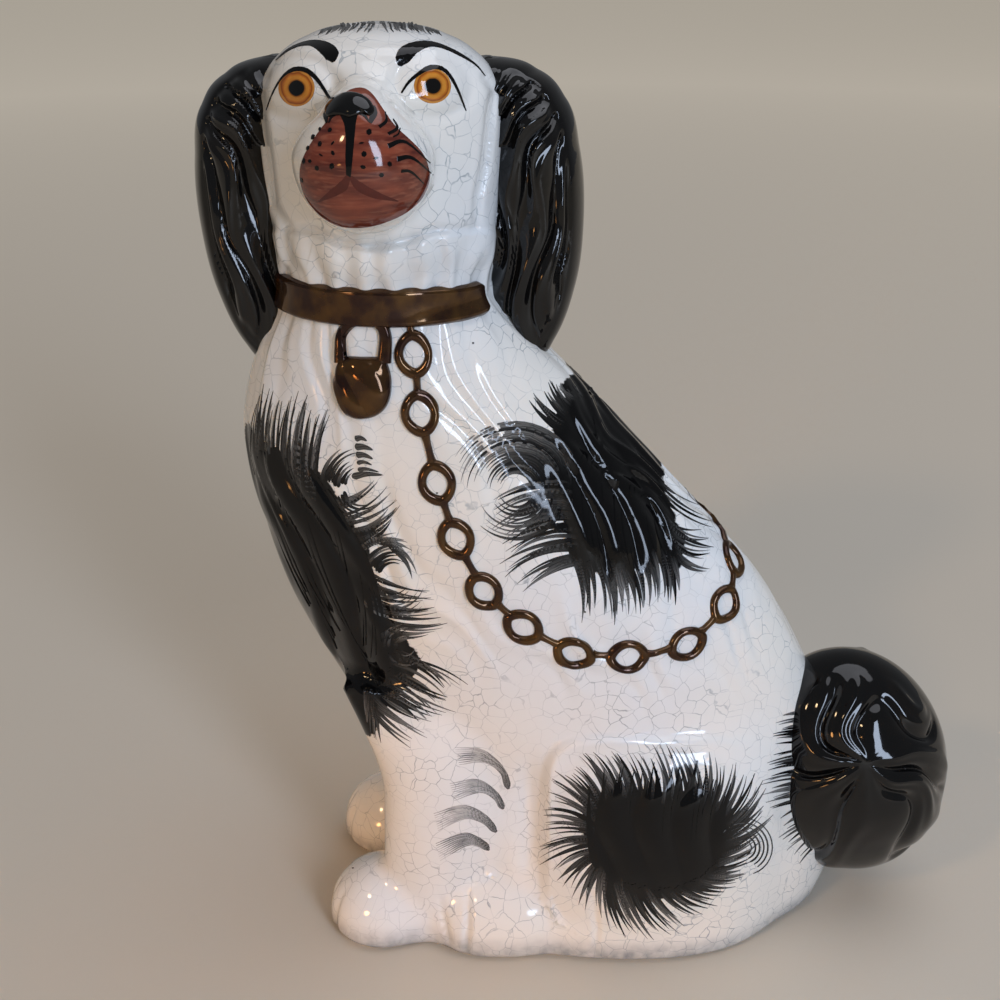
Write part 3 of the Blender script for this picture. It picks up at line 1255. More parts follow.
def neck_distance(p):
    """Distance outside the neck under the collar, breast and ruff both."""
    return joined(p, ["stack"])[0] - 0.12 * hair_relief(p)


def collar():
    """The relief band: a grid round the near side of the neck, whose edges and corners are quarter
    circles: the root of r^2 less the square of the rest of the way to the edge."""
    turns = np.linspace(*COLLAR_ENDS, 230)
    arc = (turns - turns[0]) * NECK_GIRTH
    from_end = np.minimum(arc, arc[-1] - arc)
    cut = np.clip(COLLAR_CORNER - from_end, 0, COLLAR_CORNER)
    half = size("collar_width") / 2 - (COLLAR_CORNER - np.sqrt(np.maximum(COLLAR_CORNER**2 - cut**2, 0)))
    half = half * (1 - 0.14 * step(turns, math.radians(285), COLLAR_ENDS[1]))
    across = np.linspace(-1, 1, 27)
    wave = 0.25 * np.sin(turns * 3.0 + 1.0) - 1.1 * step(turns, math.radians(290), COLLAR_ENDS[1])
    z = NECK_Z + across[:, None] * half + wave
    front, back, depth, _ = np.moveaxis(sections_at(STACK, z), -1, 0)
    origins = np.stack([np.broadcast_to((front + back) / 2, z.shape), 0 * z, z], -1)
    ways = unit(np.stack([(back - front) / 2 * np.cos(turns), depth * np.sin(turns), 0 * z], -1))
    base = cast(neck_distance, origins, ways, NECK_REACH)
    edge = np.minimum(half * (1 - np.abs(across[:, None])), np.broadcast_to(from_end + 0.01, z.shape))
    roll = np.clip(edge / COLLAR_ROLL, 0, 1)
    height = size("collar_proud") * np.sqrt(1 - (1 - roll) ** 2) - 0.1
    height += 0.05 * noise(base, 20, 61) * roll
    clay = Clay()
    laid_patch(clay, neck_distance, base, height, 0.8)
    clay.make("collar_band", finish(copper_lustre), "copper_lustre", ["collar_strap"])


LOCK_MIDDLE = (363.0, 389.5)
LOCK_OUTLINE = [
    (341, 357.5), (336.5, 372), (334.5, 388), (337.5, 403), (345, 413.5), (360, 419), (374, 417), (385, 409),
    (391, 395), (391.5, 378), (387.5, 363), (383, 357.5), (362, 356.5),
]
SHACKLE_LINE = [
    (341.5, 362), (341.5, 348), (342, 336), (346, 327), (354, 321), (365, 319), (376, 321.5), (383, 328),
    (385.5, 338), (385, 350), (384, 362),
]


SHACKLE_WIDTHS = [2.3, 1.9, 1.8, 1.9, 2.3]   # mm, half of the bar's
SHACKLE_PROUD = 1.9
BAR_SINK = 0.6


def raised_bar(clay, middle, half, height, sides=9):
    """Adds a raised bar: a line of points on the skin, widened to both sides by its half width at every
    point, whose top is the height times the root of 1 - x^4, x being the share of the half width."""
    across = np.linspace(-1, 1, sides)
    side = unit(np.cross(slope_of(body_distance, middle), np.gradient(middle, axis=0)))
    base = settle(body_distance, middle[:, None] + side[:, None] * (across[:, None] * half[:, None, None]), 2)
    dome = height * np.sqrt(np.clip(1 - across**4, 0, 1)) - 0.1
    laid_patch(clay, body_distance, base, np.broadcast_to(dome, base.shape[:2]).copy(), BAR_SINK)


def padlock():
    """The lock: a domed shield, and its shackle: an arch from the lock up behind the collar."""
    lock, proud = Clay(), size("lock_proud")
    laid_disc(
        lock, body_distance, LOCK_MIDDLE, LOCK_OUTLINE,
        lambda s: np.where(s > 0.995, -0.2, proud * np.clip(1 - s**3.4, 0, 1) ** 0.5), 34, 110, 1.0, True,
    )
    lock.make("padlock_dome", finish(copper_lustre), "copper_lustre", ["padlock_body"])
    arch = Clay()
    middle, _ = on_skin(body_distance, curve_through(SHACKLE_LINE, 48))
    half = np.interp(np.linspace(0, 1, 48), np.linspace(0, 1, len(SHACKLE_WIDTHS)), SHACKLE_WIDTHS)
    raised_bar(arch, middle, half, SHACKLE_PROUD, 11)
    arch.make("padlock_arch", finish(copper_lustre), "copper_lustre", ["padlock_shackle"])


LINK_MIDDLES = [
    (414, 354.5), (420, 414), (437, 483), (456, 539), (484, 591), (523, 627), (574, 653), (628, 657),
    (687, 644), (725, 604), (733, 558),
]
LAST_LINK = (158.0, math.radians(22))   # height, and bearing round the body's middle
CHAIN_START = (409, 318)
STEM_HALF, STEM_FLARE, STEM_PROUD = 1.15, 0.7, 1.25   # mm: half width, how much more at the ends, height
STEM_GAP = 0.4                         # mm: how far a stem's end is out of its link's middle line


def chain():
    """Links: a round section carried along an almond on the skin, whose two axes are powers of the cosine
    and the sine of a full turn; stems: short bars between their ends, which flare by a cube."""
    half_length = size("link_half_length")
    spots, _ = on_skin(body_distance, np.array(LINK_MIDDLES, float))
    # one more link lies past the ridge, out of the photo's sight, where a level ray comes out of the skin
    front, back, _, _ = sections_at(STACK, np.array(LAST_LINK[0]))
    start = np.array([[(front + back) / 2, 0.0, LAST_LINK[0]]])
    level = np.array([[math.cos(LAST_LINK[1]), math.sin(LAST_LINK[1]), 0.0]])
    over = cast(body_distance, start, level, BODY_REACH)
    spots = np.vstack([spots, over])
    start, _ = on_skin(body_distance, np.array([CHAIN_START], float))
    track = np.vstack([start, spots])
    ahead = np.vstack([track[2:] - track[:-2], track[-1:] - track[-2:-1]])
    out = slope_of(body_distance, spots)
    side = unit(np.cross(out, ahead))
    along = np.cross(side, out)
    t = np.linspace(0, 2 * math.pi, 60, endpoint=False)
    s = np.linspace(0, 2 * math.pi, 14, endpoint=False)
    swell = size("link_bar") * (1 + 0.12 * np.cos(2 * t + 0.6))
    lengthways = half_length * np.cos(t) * np.abs(np.cos(t)) ** 0.06
    sideways = size("link_half_width") * np.sin(t) * np.abs(np.sin(t)) ** 0.22
    u = lengthways + np.cos(t) * np.cos(s)[:, None] * swell
    v = sideways + np.sin(t) * np.cos(s)[:, None] * swell
    rise = np.sin(s)[:, None] * size("link_proud") + 0 * t
    links = Clay()
    flat = spots[:, None, None] + along[:, None, None] * u[..., None] + side[:, None, None] * v[..., None]
    laid = settle(body_distance, flat, 3)
    normals = slope_of(body_distance, laid)
    loops = laid + normals * (np.maximum(rise, -0.8) + 0.05)[..., None]
    for loop, skin in zip(loops, normals):
        shade = surface_normals(loop, True, True)
        ids = numbered(*loop.shape[:2])
        ids = np.hstack([ids, ids[:, :1]])
        top = len(loop) // 4
        if (shade[top] * skin[top]).sum() < 0:
            shade = -shade
        links.add(loop.reshape(-1, 3), shade.reshape(-1, 3), [quads_of(np.vstack([ids, ids[:1]]))])
    links.make("chain_links_relief", finish(copper_lustre), "copper_lustre", ["chain_links"])

    stems = Clay()
    share = np.linspace(0, 1, 16)
    half = STEM_HALF + STEM_FLARE * np.abs(2 * share - 1) ** 3
    for k in range(len(track) - 1):
        way = unit(track[k + 1] - track[k])
        a = track[k] + way * (0 if k == 0 else half_length + STEM_GAP)
        b = track[k + 1] - way * (half_length + STEM_GAP)
        middle = settle(body_distance, a + share[:, None] * (b - a), 3)
        raised_bar(stems, middle, half, STEM_PROUD)
    stems.make("chain_stems_relief", finish(copper_lustre), "copper_lustre", ["chain_stems"])


# ---- brush strokes -----------------------------------------------------------
STROKE_POINTS = 19
FACE_LIFT = 0.22       # mm, over the films of the face
STROKE_SINK = 0.3      # mm


def lay_strokes(clay, distance, lines, halves, load, twin=False, lift=None):
    """Adds brush strokes: lines of pixels (strokes, points, 2) laid on the skin and widened to both sides
    by halves, in mm (strokes, points). load is how black each stroke is, 0 to 1. The twin strokes are
    painted on the other side of the body as well."""
    lift = size("stroke_lift") if lift is None else lift
    lines, halves = np.asarray(lines, float), np.asarray(halves, float)
    load = np.asarray(load, float)
    load = np.broadcast_to(load if load.ndim == 2 else load.reshape(-1, 1), halves.shape)
    middle, found = on_skin(distance, lines)
    kept = found.all(-1)
    if not kept.any():
        return    # every stroke of the group misses the skin
    middle, halves, load = middle[kept], halves[kept], load[kept]
    if twin:
        middle = np.concatenate([middle, settle(distance, mirrored(middle), 5)])
        halves, load = np.tile(halves, (2, 1)), np.tile(load, (2, 1))
    out = slope_of(distance, middle)
    side = unit(np.cross(out, np.gradient(middle, axis=1)))
    across = np.array([-1.0, -0.8, -0.3, 0.3, 0.8, 1.0])
    base = middle[:, :, None] + side[:, :, None] * (across[:, None] * halves[:, :, None, None])
    base = settle(distance, base, 2)
    normals = slope_of(distance, base)
    rise = np.where(np.abs(across) > 0.9, -0.03, lift)
    top = base + normals * rise[:, None]
    under = base - normals * STROKE_SINK
    ids = numbered(1, halves.size * len(across)).reshape(base.shape[:3])
    low = ids + ids.size

    def strips(a, b, c, d):
        """Quads whose corners are the entries of four tables."""
        return np.stack([a, b, c, d], -1).reshape(-1, 4)

    faces = np.concatenate([
        strips(ids[:, :-1, :-1], ids[:, 1:, :-1], ids[:, 1:, 1:], ids[:, :-1, 1:]),
        strips(low[:, :-1, :-1], low[:, :-1, 1:], low[:, 1:, 1:], low[:, 1:, :-1]),
        strips(ids[:, :-1, 0], low[:, :-1, 0], low[:, 1:, 0], ids[:, 1:, 0]),
        strips(ids[:, :-1, -1], ids[:, 1:, -1], low[:, 1:, -1], low[:, :-1, -1]),
        strips(ids[:, 0, :-1], ids[:, 0, 1:], low[:, 0, 1:], low[:, 0, :-1]),
        strips(ids[:, -1, :-1], low[:, -1, :-1], low[:, -1, 1:], ids[:, -1, 1:]),
    ])
    black = np.broadcast_to(load[:, :, None], base.shape[:3]).reshape(-1)
    place = (across / 2 + 0.5) * np.maximum(halves, 0.3)[:, :, None]
    clay.add(
        np.concatenate([top, under]).reshape(-1, 3), np.concatenate([normals, -normals]).reshape(-1, 3),
        [faces], load=np.tile(black, 2), across=np.tile(place.reshape(-1), 2),
    )


STROKE_FULLNESS = 1.4   # how much wider and
HAIR_CROWDING = 1.2     # more the hairs are than first drawn
STROKE_ROOT = 0.22      # how far a hair starts inside its mass, as a share of its length


def along_line(line, share):
    """Points at shares 0 to 1 of the way along a smooth line of pixels."""
    dense = curve_through(line, 200)
    grid = np.linspace(0, 1, 200)
    return np.stack([np.interp(share, grid, dense[:, k]) for k in (0, 1)], -1)


def tapered(count, half_width, rng, tail=0.8):
    """Half widths of strokes that start full and run out to a point, by a power of the way left."""
    t = np.linspace(0, 1, STROKE_POINTS)
    shape = np.clip((1 - t) ** tail, 0.04, 1) * np.clip(0.35 + t / 0.12, 0, 1)
    return shape * (STROKE_FULLNESS * half_width * rng.uniform(0.6, 1.25, (count, 1)))


def fringe(roots, tips, count, bend, half_width, seed, loose=1.0):
    """Hairs from one line of pixels out to another: each a quadratic curve bowed sideways by bend."""
    rng = np.random.default_rng(seed)
    count = int(HAIR_CROWDING * count)
    share = np.clip((np.arange(count) + rng.uniform(-0.4, 0.4, count)) / max(count - 1, 1), 0, 1)
    root, tip = along_line(roots, share), along_line(tips, share)
    run = tip - root
    tip = root + run * rng.uniform(0.78, 1.08, (count, 1)) + rng.normal(0, 1.6 * loose, (count, 2))
    root = root - STROKE_ROOT * run * rng.uniform(0.4, 1.2, (count, 1))
    run = tip - root
    aside = np.stack([-run[:, 1], run[:, 0]], -1)
    knee = root + 0.5 * run + aside * (bend * rng.uniform(0.6, 1.4, (count, 1)))
    t = np.linspace(0, 1, STROKE_POINTS)[None, :, None]
    lines = (1 - t) ** 2 * root[:, None] + 2 * t * (1 - t) * knee[:, None] + t**2 * tip[:, None]
    return lines, tapered(count, half_width, rng)


def arcs(centre, radii, start, end, count, half_width, seed, squash=1.0):
    """Hairs that curl round a swirl: arcs of growing radius, each ending a little off the last."""
    rng = np.random.default_rng(seed)
    radius = np.linspace(*radii, count)[:, None]
    first = np.radians(start + rng.uniform(-9, 9, (count, 1)))
    last = np.radians(end + rng.uniform(-22, 14, (count, 1)))
    t = np.linspace(0, 1, STROKE_POINTS)
    turn = first + (last - first) * t
    grow = radius * (1 + 0.14 * t)
    lines = np.stack([centre[0] + grow * np.cos(turn), centre[1] + squash * grow * np.sin(turn)], -1)
    return lines, tapered(count, half_width, rng)


def spent(count, seed, least=0.78):
    """How loaded a brush is along its strokes: 1 at first, and less by a power of the way to the tip."""
    rng = np.random.default_rng(seed + 1000)
    tip = 1 - (1 - least) * rng.uniform(0, 1, (count, 1)) ** 1.5
    return 1 + (tip - 1) * np.linspace(0, 1, STROKE_POINTS) ** 1.3


# roots, tips, count, bend, half width in mm, all on the photo
CHEST_FRINGES = [
    ([(255, 458), (268, 468), (282, 478), (297, 484), (310, 490), (322, 500)],
     [(257, 392), (269, 392), (281, 398), (300, 391), (312, 402), (331, 413)], 30, -0.13, 0.95),
    ([(331, 497), (338, 513), (347, 524), (356, 534), (362, 548)],
     [(379, 474), (386, 488), (396, 503), (395, 512), (386, 530)], 17, 0.24, 0.75),
    ([(366, 566), (372, 588), (382, 606), (392, 620), (402, 636)],
     [(429, 593), (432, 602), (441, 612), (443, 622), (436, 634)], 15, 0.16, 0.75),
    ([(394, 662), (404, 656), (398, 676), (392, 688), (386, 700)],
     [(464, 684), (449, 688), (448, 702), (436, 716), (424, 728)], 15, -0.14, 0.85),
    ([(400, 668), (394, 682), (386, 694), (380, 704), (374, 714)],
     [(449, 699), (453, 712), (434, 723), (422, 736), (408, 744)], 13, 0.12, 0.85),
    ([(366, 690), (371, 700), (376, 710)], [(367, 716), (373, 735), (380, 748)], 6, 0.05, 0.8),
    ([(352, 560), (366, 548), (384, 544), (394, 552)], [(392, 534), (404, 540), (411, 552), (420, 588)], 10,
     -0.2, 0.8),
    ([(384, 636), (392, 640), (400, 644)], [(404, 626), (412, 632), (418, 640)], 5, -0.2, 0.6),
]
# middle, least and greatest radius in pixels, first and last bearing, count, half width in mm
CHEST_ARCS = [
    ((360, 488), (15, 38), 190, 262, 8, 0.65), ((360, 488), (16, 30), 160, 60, 5, 0.6),
    ((392, 578), (14, 30), 205, 300, 6, 0.7), ((392, 578), (15, 36), 155, 35, 7, 0.65),
    ((405, 646), (9, 20), 170, 300, 4, 0.55), ((405, 646), (9, 18), 150, 40, 3, 0.5),
]
LADDER = [
    [(355, 439), (361, 438), (367, 441)], [(355, 447), (364, 447), (373, 450)],
    [(356, 455), (364, 455), (373, 459)], [(357, 463), (364, 462), (372, 465)],
    [(358, 470), (366, 469), (379, 472)], [(352, 477), (366, 474), (383, 475)],
]
BACK_FRINGES = [
    ([(560, 428), (564, 414), (568, 404), (574, 396), (582, 394)],
     [(530, 402), (541, 389), (552, 381), (563, 386), (574, 384)], 15, -0.1, 0.95),
    ([(562, 486), (564, 506), (567, 526), (570, 548), (574, 566)],
     [(500, 497), (497, 520), (497, 548), (503, 568), (522, 590)], 24, 0.2, 0.85),
    ([(572, 560), (584, 566), (600, 566), (616, 570), (630, 572), (645, 560), (660, 558), (672, 560)],
     [(584, 622), (590, 614), (612, 622), (624, 612), (640, 610), (652, 604), (668, 604), (681, 598)], 30,
     -0.12, 1.0),
    ([(666, 510), (672, 524), (678, 540), (678, 556)], [(706, 532), (714, 545), (714, 556), (706, 572)], 9,
     0.3, 0.9),
    ([(660, 470), (666, 486), (670, 500)], [(694, 494), (704, 512), (710, 524)], 6, 0.18, 0.7),
]
BACK_ARCS = [((518, 489), (16, 62), -10, -158, 17, 0.95), ((518, 489), (17, 46), 15, 150, 9, 0.8)]
HAUNCH_RING = [
    (590, 812), (602, 798), (626, 793), (655, 796), (690, 797), (712, 804), (728, 818), (730, 836),
    (722, 858), (708, 876), (686, 888), (660, 894), (634, 890), (612, 880), (600, 866), (592, 850),
    (588, 832),
]
HAUNCH_TIPS = [
    (551, 778), (578, 758), (607, 752), (645, 752), (676, 744), (722, 762), (757, 776), (770, 808),
    (758, 842), (745, 874), (722, 900), (690, 922), (660, 935), (626, 934), (580, 905), (545, 870),
    (541, 828),
]
HAUNCH_SWIRL = ((744, 848), (7, 27), 62, -150, 6, 0.42)
RUMP_FRINGES = [
    ([(838, 650), (826, 664), (824, 682)], [(777, 632), (781, 656), (784, 682)], 13, 0.14, 1.1),
    ([(824, 688), (820, 706), (816, 724), (816, 744)], [(783, 687), (782, 704), (779, 726), (771, 742)], 15,
     0.12, 1.0),
    ([(820, 748), (814, 766), (812, 786), (812, 800)], [(771, 756), (767, 772), (765, 790), (768, 808)], 18,
     0.1, 0.9),
    ([(814, 806), (820, 826), (832, 842)], [(776, 820), (784, 846), (800, 872)], 12, 0.12, 0.95),
]
BRISTLES = 9           # marks of a spread brush in each feather of the foreleg
FEATHERS = [
    [(457, 756), (483, 756), (502, 770), (508, 788)], [(452, 792), (478, 786), (495, 795), (503, 808)],
    [(436, 822), (463, 812), (483, 818), (496, 831)], [(438, 852), (463, 840), (476, 841), (489, 849)],
]


# thick strokes inside the masses, which catch the light: roots, tips, count, bend, half width in mm
LOCKS = {
    "chest_brushwork": [
        ([(262, 470), (280, 480), (300, 490)], [(312, 610), (340, 640), (362, 650)], 13, 0.1, 1.5),
        ([(318, 500), (336, 520), (350, 545)], [(352, 640), (372, 650), (392, 655)], 9, -0.12, 1.3),
    ],
    "back_brushwork": [
        ([(590, 400), (615, 410), (640, 430)], [(592, 520), (630, 540), (662, 545)], 17, -0.1, 1.4),
        ([(575, 470), (600, 480), (630, 500), (655, 510)],
         [(585, 575), (612, 580), (640, 575), (668, 568)], 20, 0.1, 1.2),
    ],
    "haunch_brushwork": [
        ([(596, 852), (632, 860), (676, 860), (720, 846)],
         [(592, 780), (634, 762), (680, 760), (730, 786)], 34, -0.08, 1.3),
    ],
}


LOCK_LIFT = 0.35       # mm


def lay_locks(clay, name):
    """The thick strokes inside one mass."""
    for k, (roots, tips, count, bend, half) in enumerate(LOCKS.get(name, [])):
        lines, halves = fringe(roots, tips, count, bend, half, 300 + k, 2.5)
        lay_strokes(clay, body_distance, lines, halves, 1.0, True, LOCK_LIFT)


def coat_paint():
    """The brushed fringes of every black mass, both sides of the body alike."""
    groups = (
        ("chest_brushwork", CHEST_FRINGES, CHEST_ARCS), ("back_brushwork", BACK_FRINGES, BACK_ARCS),
        ("rump_brushwork", RUMP_FRINGES, []),
    )
    for name, fringes, curls in groups:
        clay = Clay()
        for k, (roots, tips, count, bend, half) in enumerate(fringes):
            lines, halves = fringe(roots, tips, count, bend, half, 100 + k)
            lay_strokes(clay, body_distance, lines, halves, spent(len(lines), 100 + k), True)
        lay_locks(clay, name)
        for k, (centre, radii, start, end, count, half) in enumerate(curls):
            lines, halves = arcs(centre, radii, start, end, count, half, 200 + k)
            lay_strokes(clay, body_distance, lines, halves, spent(len(lines), 200 + k, 0.7), True)
        if name == "chest_brushwork":
            lines = np.array([curve_through(line, STROKE_POINTS) for line in LADDER])
            rng = np.random.default_rng(7)
            lay_strokes(clay, body_distance, lines, tapered(len(lines), 0.8, rng, 0.5), 0.95, True)
        clay.make(name, finish(brushed_enamel), "black_glaze", [])
    haunch = Clay()
    lay_locks(haunch, "haunch_brushwork")
    for seed, bend, half in ((11, 0.12, 1.0), (12, 0.18, 0.7)):
        # the two outlines are walked together, all the way round
        ring, tips = (line + line[:1] for line in (HAUNCH_RING, HAUNCH_TIPS))
        lines, halves = fringe(ring, tips, 64, bend, half, seed)
        lay_strokes(haunch, body_distance, lines, halves, spent(len(lines), seed), True)
    lines, halves = arcs(*HAUNCH_SWIRL, 13)
    lay_strokes(haunch, body_distance, lines, halves, spent(len(lines), 13), True)
    haunch.make("haunch_brushwork", finish(brushed_enamel), "black_glaze", [])

    leg = Clay()
    for k, line in enumerate(FEATHERS):
        rng = np.random.default_rng(60 + k)
        middle = curve_through(line, STROKE_POINTS)[None]
        spread = np.linspace(-9, 9, BRISTLES)[:, None, None] * np.array([0.25, 0.95])
        lines = middle + spread * np.linspace(1.0, 0.12, STROKE_POINTS)[None, :, None]
        halves = tapered(BRISTLES, 0.85, rng)[:, ::-1]
        load = np.linspace(0.62, 1.0, STROKE_POINTS) * rng.uniform(0.85, 1.0, (BRISTLES, 1))
        lay_strokes(leg, body_distance, lines, halves, load, True)
    leg.make("foreleg_brushwork", finish(brushed_enamel), "white_glaze", [])


# ---- the face ----------------------------------------------------------------
# each: pixels along the stroke, half widths in mm along it
BROWS = [
    ([(276, 60), (288, 50), (302, 44), (316, 43), (327, 49), (332, 56), (333.5, 62)],
     [0.15, 0.9, 1.5, 1.9, 2.3, 2.2, 0.5]),
    ([(399.5, 66), (401.5, 60), (407, 52), (419, 45), (433, 44), (449, 49), (466, 58), (477, 66), (485, 76)],
     [0.5, 2.0, 2.4, 2.0, 1.5, 0.95, 0.6, 0.45, 0.12]),
]
LIDS = [
    ([(266.5, 110), (272, 95), (281, 79), (292, 70), (304, 69.5), (314, 76), (322, 86), (330.5, 100)],
     [0.12, 0.35, 0.5, 0.85, 0.8, 0.65, 0.5, 0.4]),
    ([(401.5, 93), (408, 83), (417, 75), (430, 67.5), (443, 69), (452, 79), (459, 93), (466, 111)],
     [0.25, 0.4, 0.55, 0.85, 0.75, 0.65, 0.5, 0.12]),
]
PHILTRUM = [
    ([(349, 112), (350, 124), (350, 140), (349, 158), (348.5, 179)], [2.9, 1.7, 1.25, 1.1, 0.6]),
    ([(328, 108), (326, 114), (327, 123)], [1.5, 1.1, 0.35]),
    ([(371, 106), (373.5, 113), (370, 123)], [1.4, 1.2, 0.5]),
    ([(338, 113), (332, 117), (329, 123)], [0.7, 0.55, 0.2]),
    ([(358, 112), (364, 115), (369, 122)], [0.7, 0.6, 0.2]),
]
MOUTH = [
    ([(348.5, 176), (343, 186), (333, 193), (318, 202)], [0.7, 1.5, 1.2, 0.15]),
    ([(350.5, 177), (360, 187), (376, 195), (398, 201)], [0.6, 1.5, 1.2, 0.15]),
]
SPOTS = [
    (320, 129), (330, 130), (313, 137), (320, 144), (333, 143), (308, 148), (321, 155), (333, 153),
    (310, 161), (304, 161), (317, 168), (332, 166), (302, 180), (361.5, 143), (369, 132), (364, 154),
    (363, 167), (381.5, 175), (389.5, 164), (376, 158),
]
WHISKERS = [
    ([(388, 146), (405, 142), (430, 163)], [0.75, 0.5, 0.12]),
    ([(397, 159), (412, 158), (433, 175)], [0.75, 0.5, 0.12]),
    ([(401, 171), (411, 172), (424, 184)], [0.5, 0.4, 0.12]),
    ([(379, 127), (386, 121), (385, 112)], [0.5, 0.45, 0.2]),
    ([(388, 134), (397, 128), (393, 119)], [0.45, 0.5, 0.2]),
    ([(393, 137), (398, 134), (400, 128)], [0.25, 0.25, 0.1]),
]
SPECKS = [(473, 343), (437, 493), (585, 612), (353, 868)]    # specks that the kiln left in the glaze
CROWN_HAIRS = 30
CROWN_SPAN = (326.0, 434.0)      # pixels: where the hairs of the crown stand
CROWN_PARTING = 376.0


def crown_hairs():
    """Short hairs that fall forward over the crown from its silhouette, parted in the middle."""
    rng = np.random.default_rng(44)
    x = np.linspace(*CROWN_SPAN, CROWN_HAIRS) + rng.uniform(-1, 1, CROWN_HAIRS)
    x = x + 4.0 * np.sign(x - CROWN_PARTING)
    down = np.linspace(8, 60, 209)
    _, found = on_skin(head_distance, np.stack(np.broadcast_arrays(x[:, None], down[None, :]), -1))
    top = down[np.argmax(found, axis=1)][:, None] + 0.4
    t = np.linspace(0, 1, STROKE_POINTS)
    side = np.sign(x - CROWN_PARTING)[:, None]
    reach = rng.uniform(7, 12, (CROWN_HAIRS, 1)) * (1 - 0.35 * np.abs(x[:, None] - CROWN_PARTING) / 60)
    lines = np.stack([x[:, None] + side * 5.0 * (t**1.7 - 0.3), top + reach * t], -1)
    return lines, tapered(CROWN_HAIRS, 0.62, rng, 0.6)


def drawn(strokes):
    """Single strokes as arrays: their pixels, and half widths, at the usual number of points."""
    t = np.linspace(0, 1, STROKE_POINTS)
    lines = np.array([curve_through(line, STROKE_POINTS) for line, _ in strokes])
    halves = np.array([np.interp(t, np.linspace(0, 1, len(half)), half) for _, half in strokes])
    return lines, halves


def face_lines():
    """Brows, lids, nostrils, spots and whiskers in black, and the mouth in dark red."""
    black = Clay()
    for strokes in (BROWS, LIDS, PHILTRUM, WHISKERS):
        lay_strokes(black, head_distance, *drawn(strokes), 1.0, lift=FACE_LIFT)
    rng = np.random.default_rng(5)
    lean = rng.uniform(-1, 1, (len(SPOTS), 2)) + np.array([0.4, -1.6])
    spots = [
        ([(x - dx, y - dy), (x, y), (x + dx, y + dy)], [0.4, 0.85, 0.4])
        for (x, y), (dx, dy) in zip(SPOTS, lean)
    ]
    lay_strokes(black, head_distance, *drawn(spots), 1.0, lift=FACE_LIFT)
    specks = [([(x - 1, y), (x, y), (x + 1, y)], [0.15, 0.3, 0.15]) for x, y in SPECKS]
    lay_strokes(black, body_distance, *drawn(specks), 1.0)
    lines, halves = crown_hairs()
    lay_strokes(black, head_distance, lines, halves, spent(len(lines), 44, 0.75))
    black.make("face_brushwork", finish(brushed_enamel), "black_glaze", [])
    red = Clay()
    lay_strokes(red, head_distance, *drawn(MOUTH), 1.0, lift=FACE_LIFT)
    red.make("mouth_brushwork", finish(enamel_red), "white_glaze", [])


# ---- Stage -------------------------------------------------------------------
def area_lamp(name, place, aim, shape, width, height, energy, colour, spread=180.0):
    """A soft lamp that faces a point, in metres and watts; spread is how wide its light opens."""
    data = bpy.data.lights.new(name, "AREA")
    data.shape = shape
    data.size = width
    data.size_y = height
    data.energy = energy
    data.color = linear(colour)[:3]
    data.spread = math.radians(spread)
    lamp = bpy.data.objects.new(name, data)
    bpy.context.scene.collection.objects.link(lamp)
    place, aim = np.array(place, float), np.array(aim, float)
    back = unit(place - aim)
    side = unit(np.cross(Z_AXIS, back))
    turned = np.stack([side, np.cross(back, side), back, place], 1)
    lamp.matrix_world = Matrix(np.vstack([turned, (0, 0, 0, 1)]).tolist())


FLOOR_REACH = 6.0      # m
FIGURE_MIDDLE = (0, 0, 0.16)


def stage():
    """Floor, world, lamps and the photo's camera."""
    mesh = bpy.data.meshes.new("floor")
    r = FLOOR_REACH
    mesh.from_pydata([(-r, -r, 0), (r, -r, 0), (r, r, 0), (-r, r, 0)], [], [(0, 1, 2, 3)])
    floor = bpy.data.objects.new("floor", mesh)
    bpy.context.scene.collection.objects.link(floor)
    material, tree, shader = new_material("plain_pale_floor", Roughness=0.9)
    shader.inputs["Base Color"].default_value = tint("floor")
    # far from the figure the floor's own colour is lifted for the eye and for reflections alone
    rays = add(tree, "ShaderNodeLightPath", out="Is Camera Ray")
    shown = add(tree, HIGHER, rays, rays.node.outputs["Is Glossy Ray"])
    where = add(tree, "ShaderNodeTexCoord", out="Object")
    reach = add(tree, "ShaderNodeVectorMath", where, out="Value", operation="LENGTH")
    lift = add(tree, TIMES, shown, add(tree, RANGE, reach, 0.3, 2.4, 0.0, 0.42))
    shader.inputs["Emission Color"].default_value = tint("floor")
    tree.links.new(lift, shader.inputs["Emission Strength"])
    mesh.materials.append(material)

    lights = bpy.context.scene.spaniel_lights
    world = bpy.data.worlds.new("soft_room")
    world.use_nodes = True
    ground = world.node_tree.nodes["Background"]
    ground.inputs["Color"].default_value = linear("#E9ECF0")
    ground.inputs["Strength"].default_value = lights.room
    bpy.context.scene.world = world
    area_lamp("window", (0.72, -1.3, 0.72), FIGURE_MIDDLE, "RECTANGLE", 0.3, 1.0, lights.window, "#D6E6FF")
    area_lamp("lamp_left", (-0.95, -1.1, 1.25), FIGURE_MIDDLE, "DISK", 0.2, 0.2, lights.warm, "#FFD9A8")
    area_lamp("lamp_low", (-0.7, -1.0, 0.22), (-0.05, 0, 0.02), "DISK", 0.2, 0.2, lights.low, "#FFB46A", 24.0)
    area_lamp("lamp_above", (0.5, 0.1, 2.2), FIGURE_MIDDLE, "DISK", 1.9, 1.9, lights.above, "#F4F6FF")

    data = bpy.data.cameras.new("photo_view")
    data.sensor_width = SENSOR
    data.lens = FOCAL / (2 * MIDDLE) * data.sensor_width
    data.clip_start, data.clip_end = 0.02, 20.0
    camera = bpy.data.objects.new("photo_view", data)
    bpy.context.scene.collection.objects.link(camera)
    camera.location = ((EYE + SHIFT) * MM).tolist()
    camera.rotation_euler = (math.pi / 2 - PITCH, 0, 0)
    bpy.context.scene.camera = camera
    bpy.context.scene.view_settings.view_transform = "Standard"


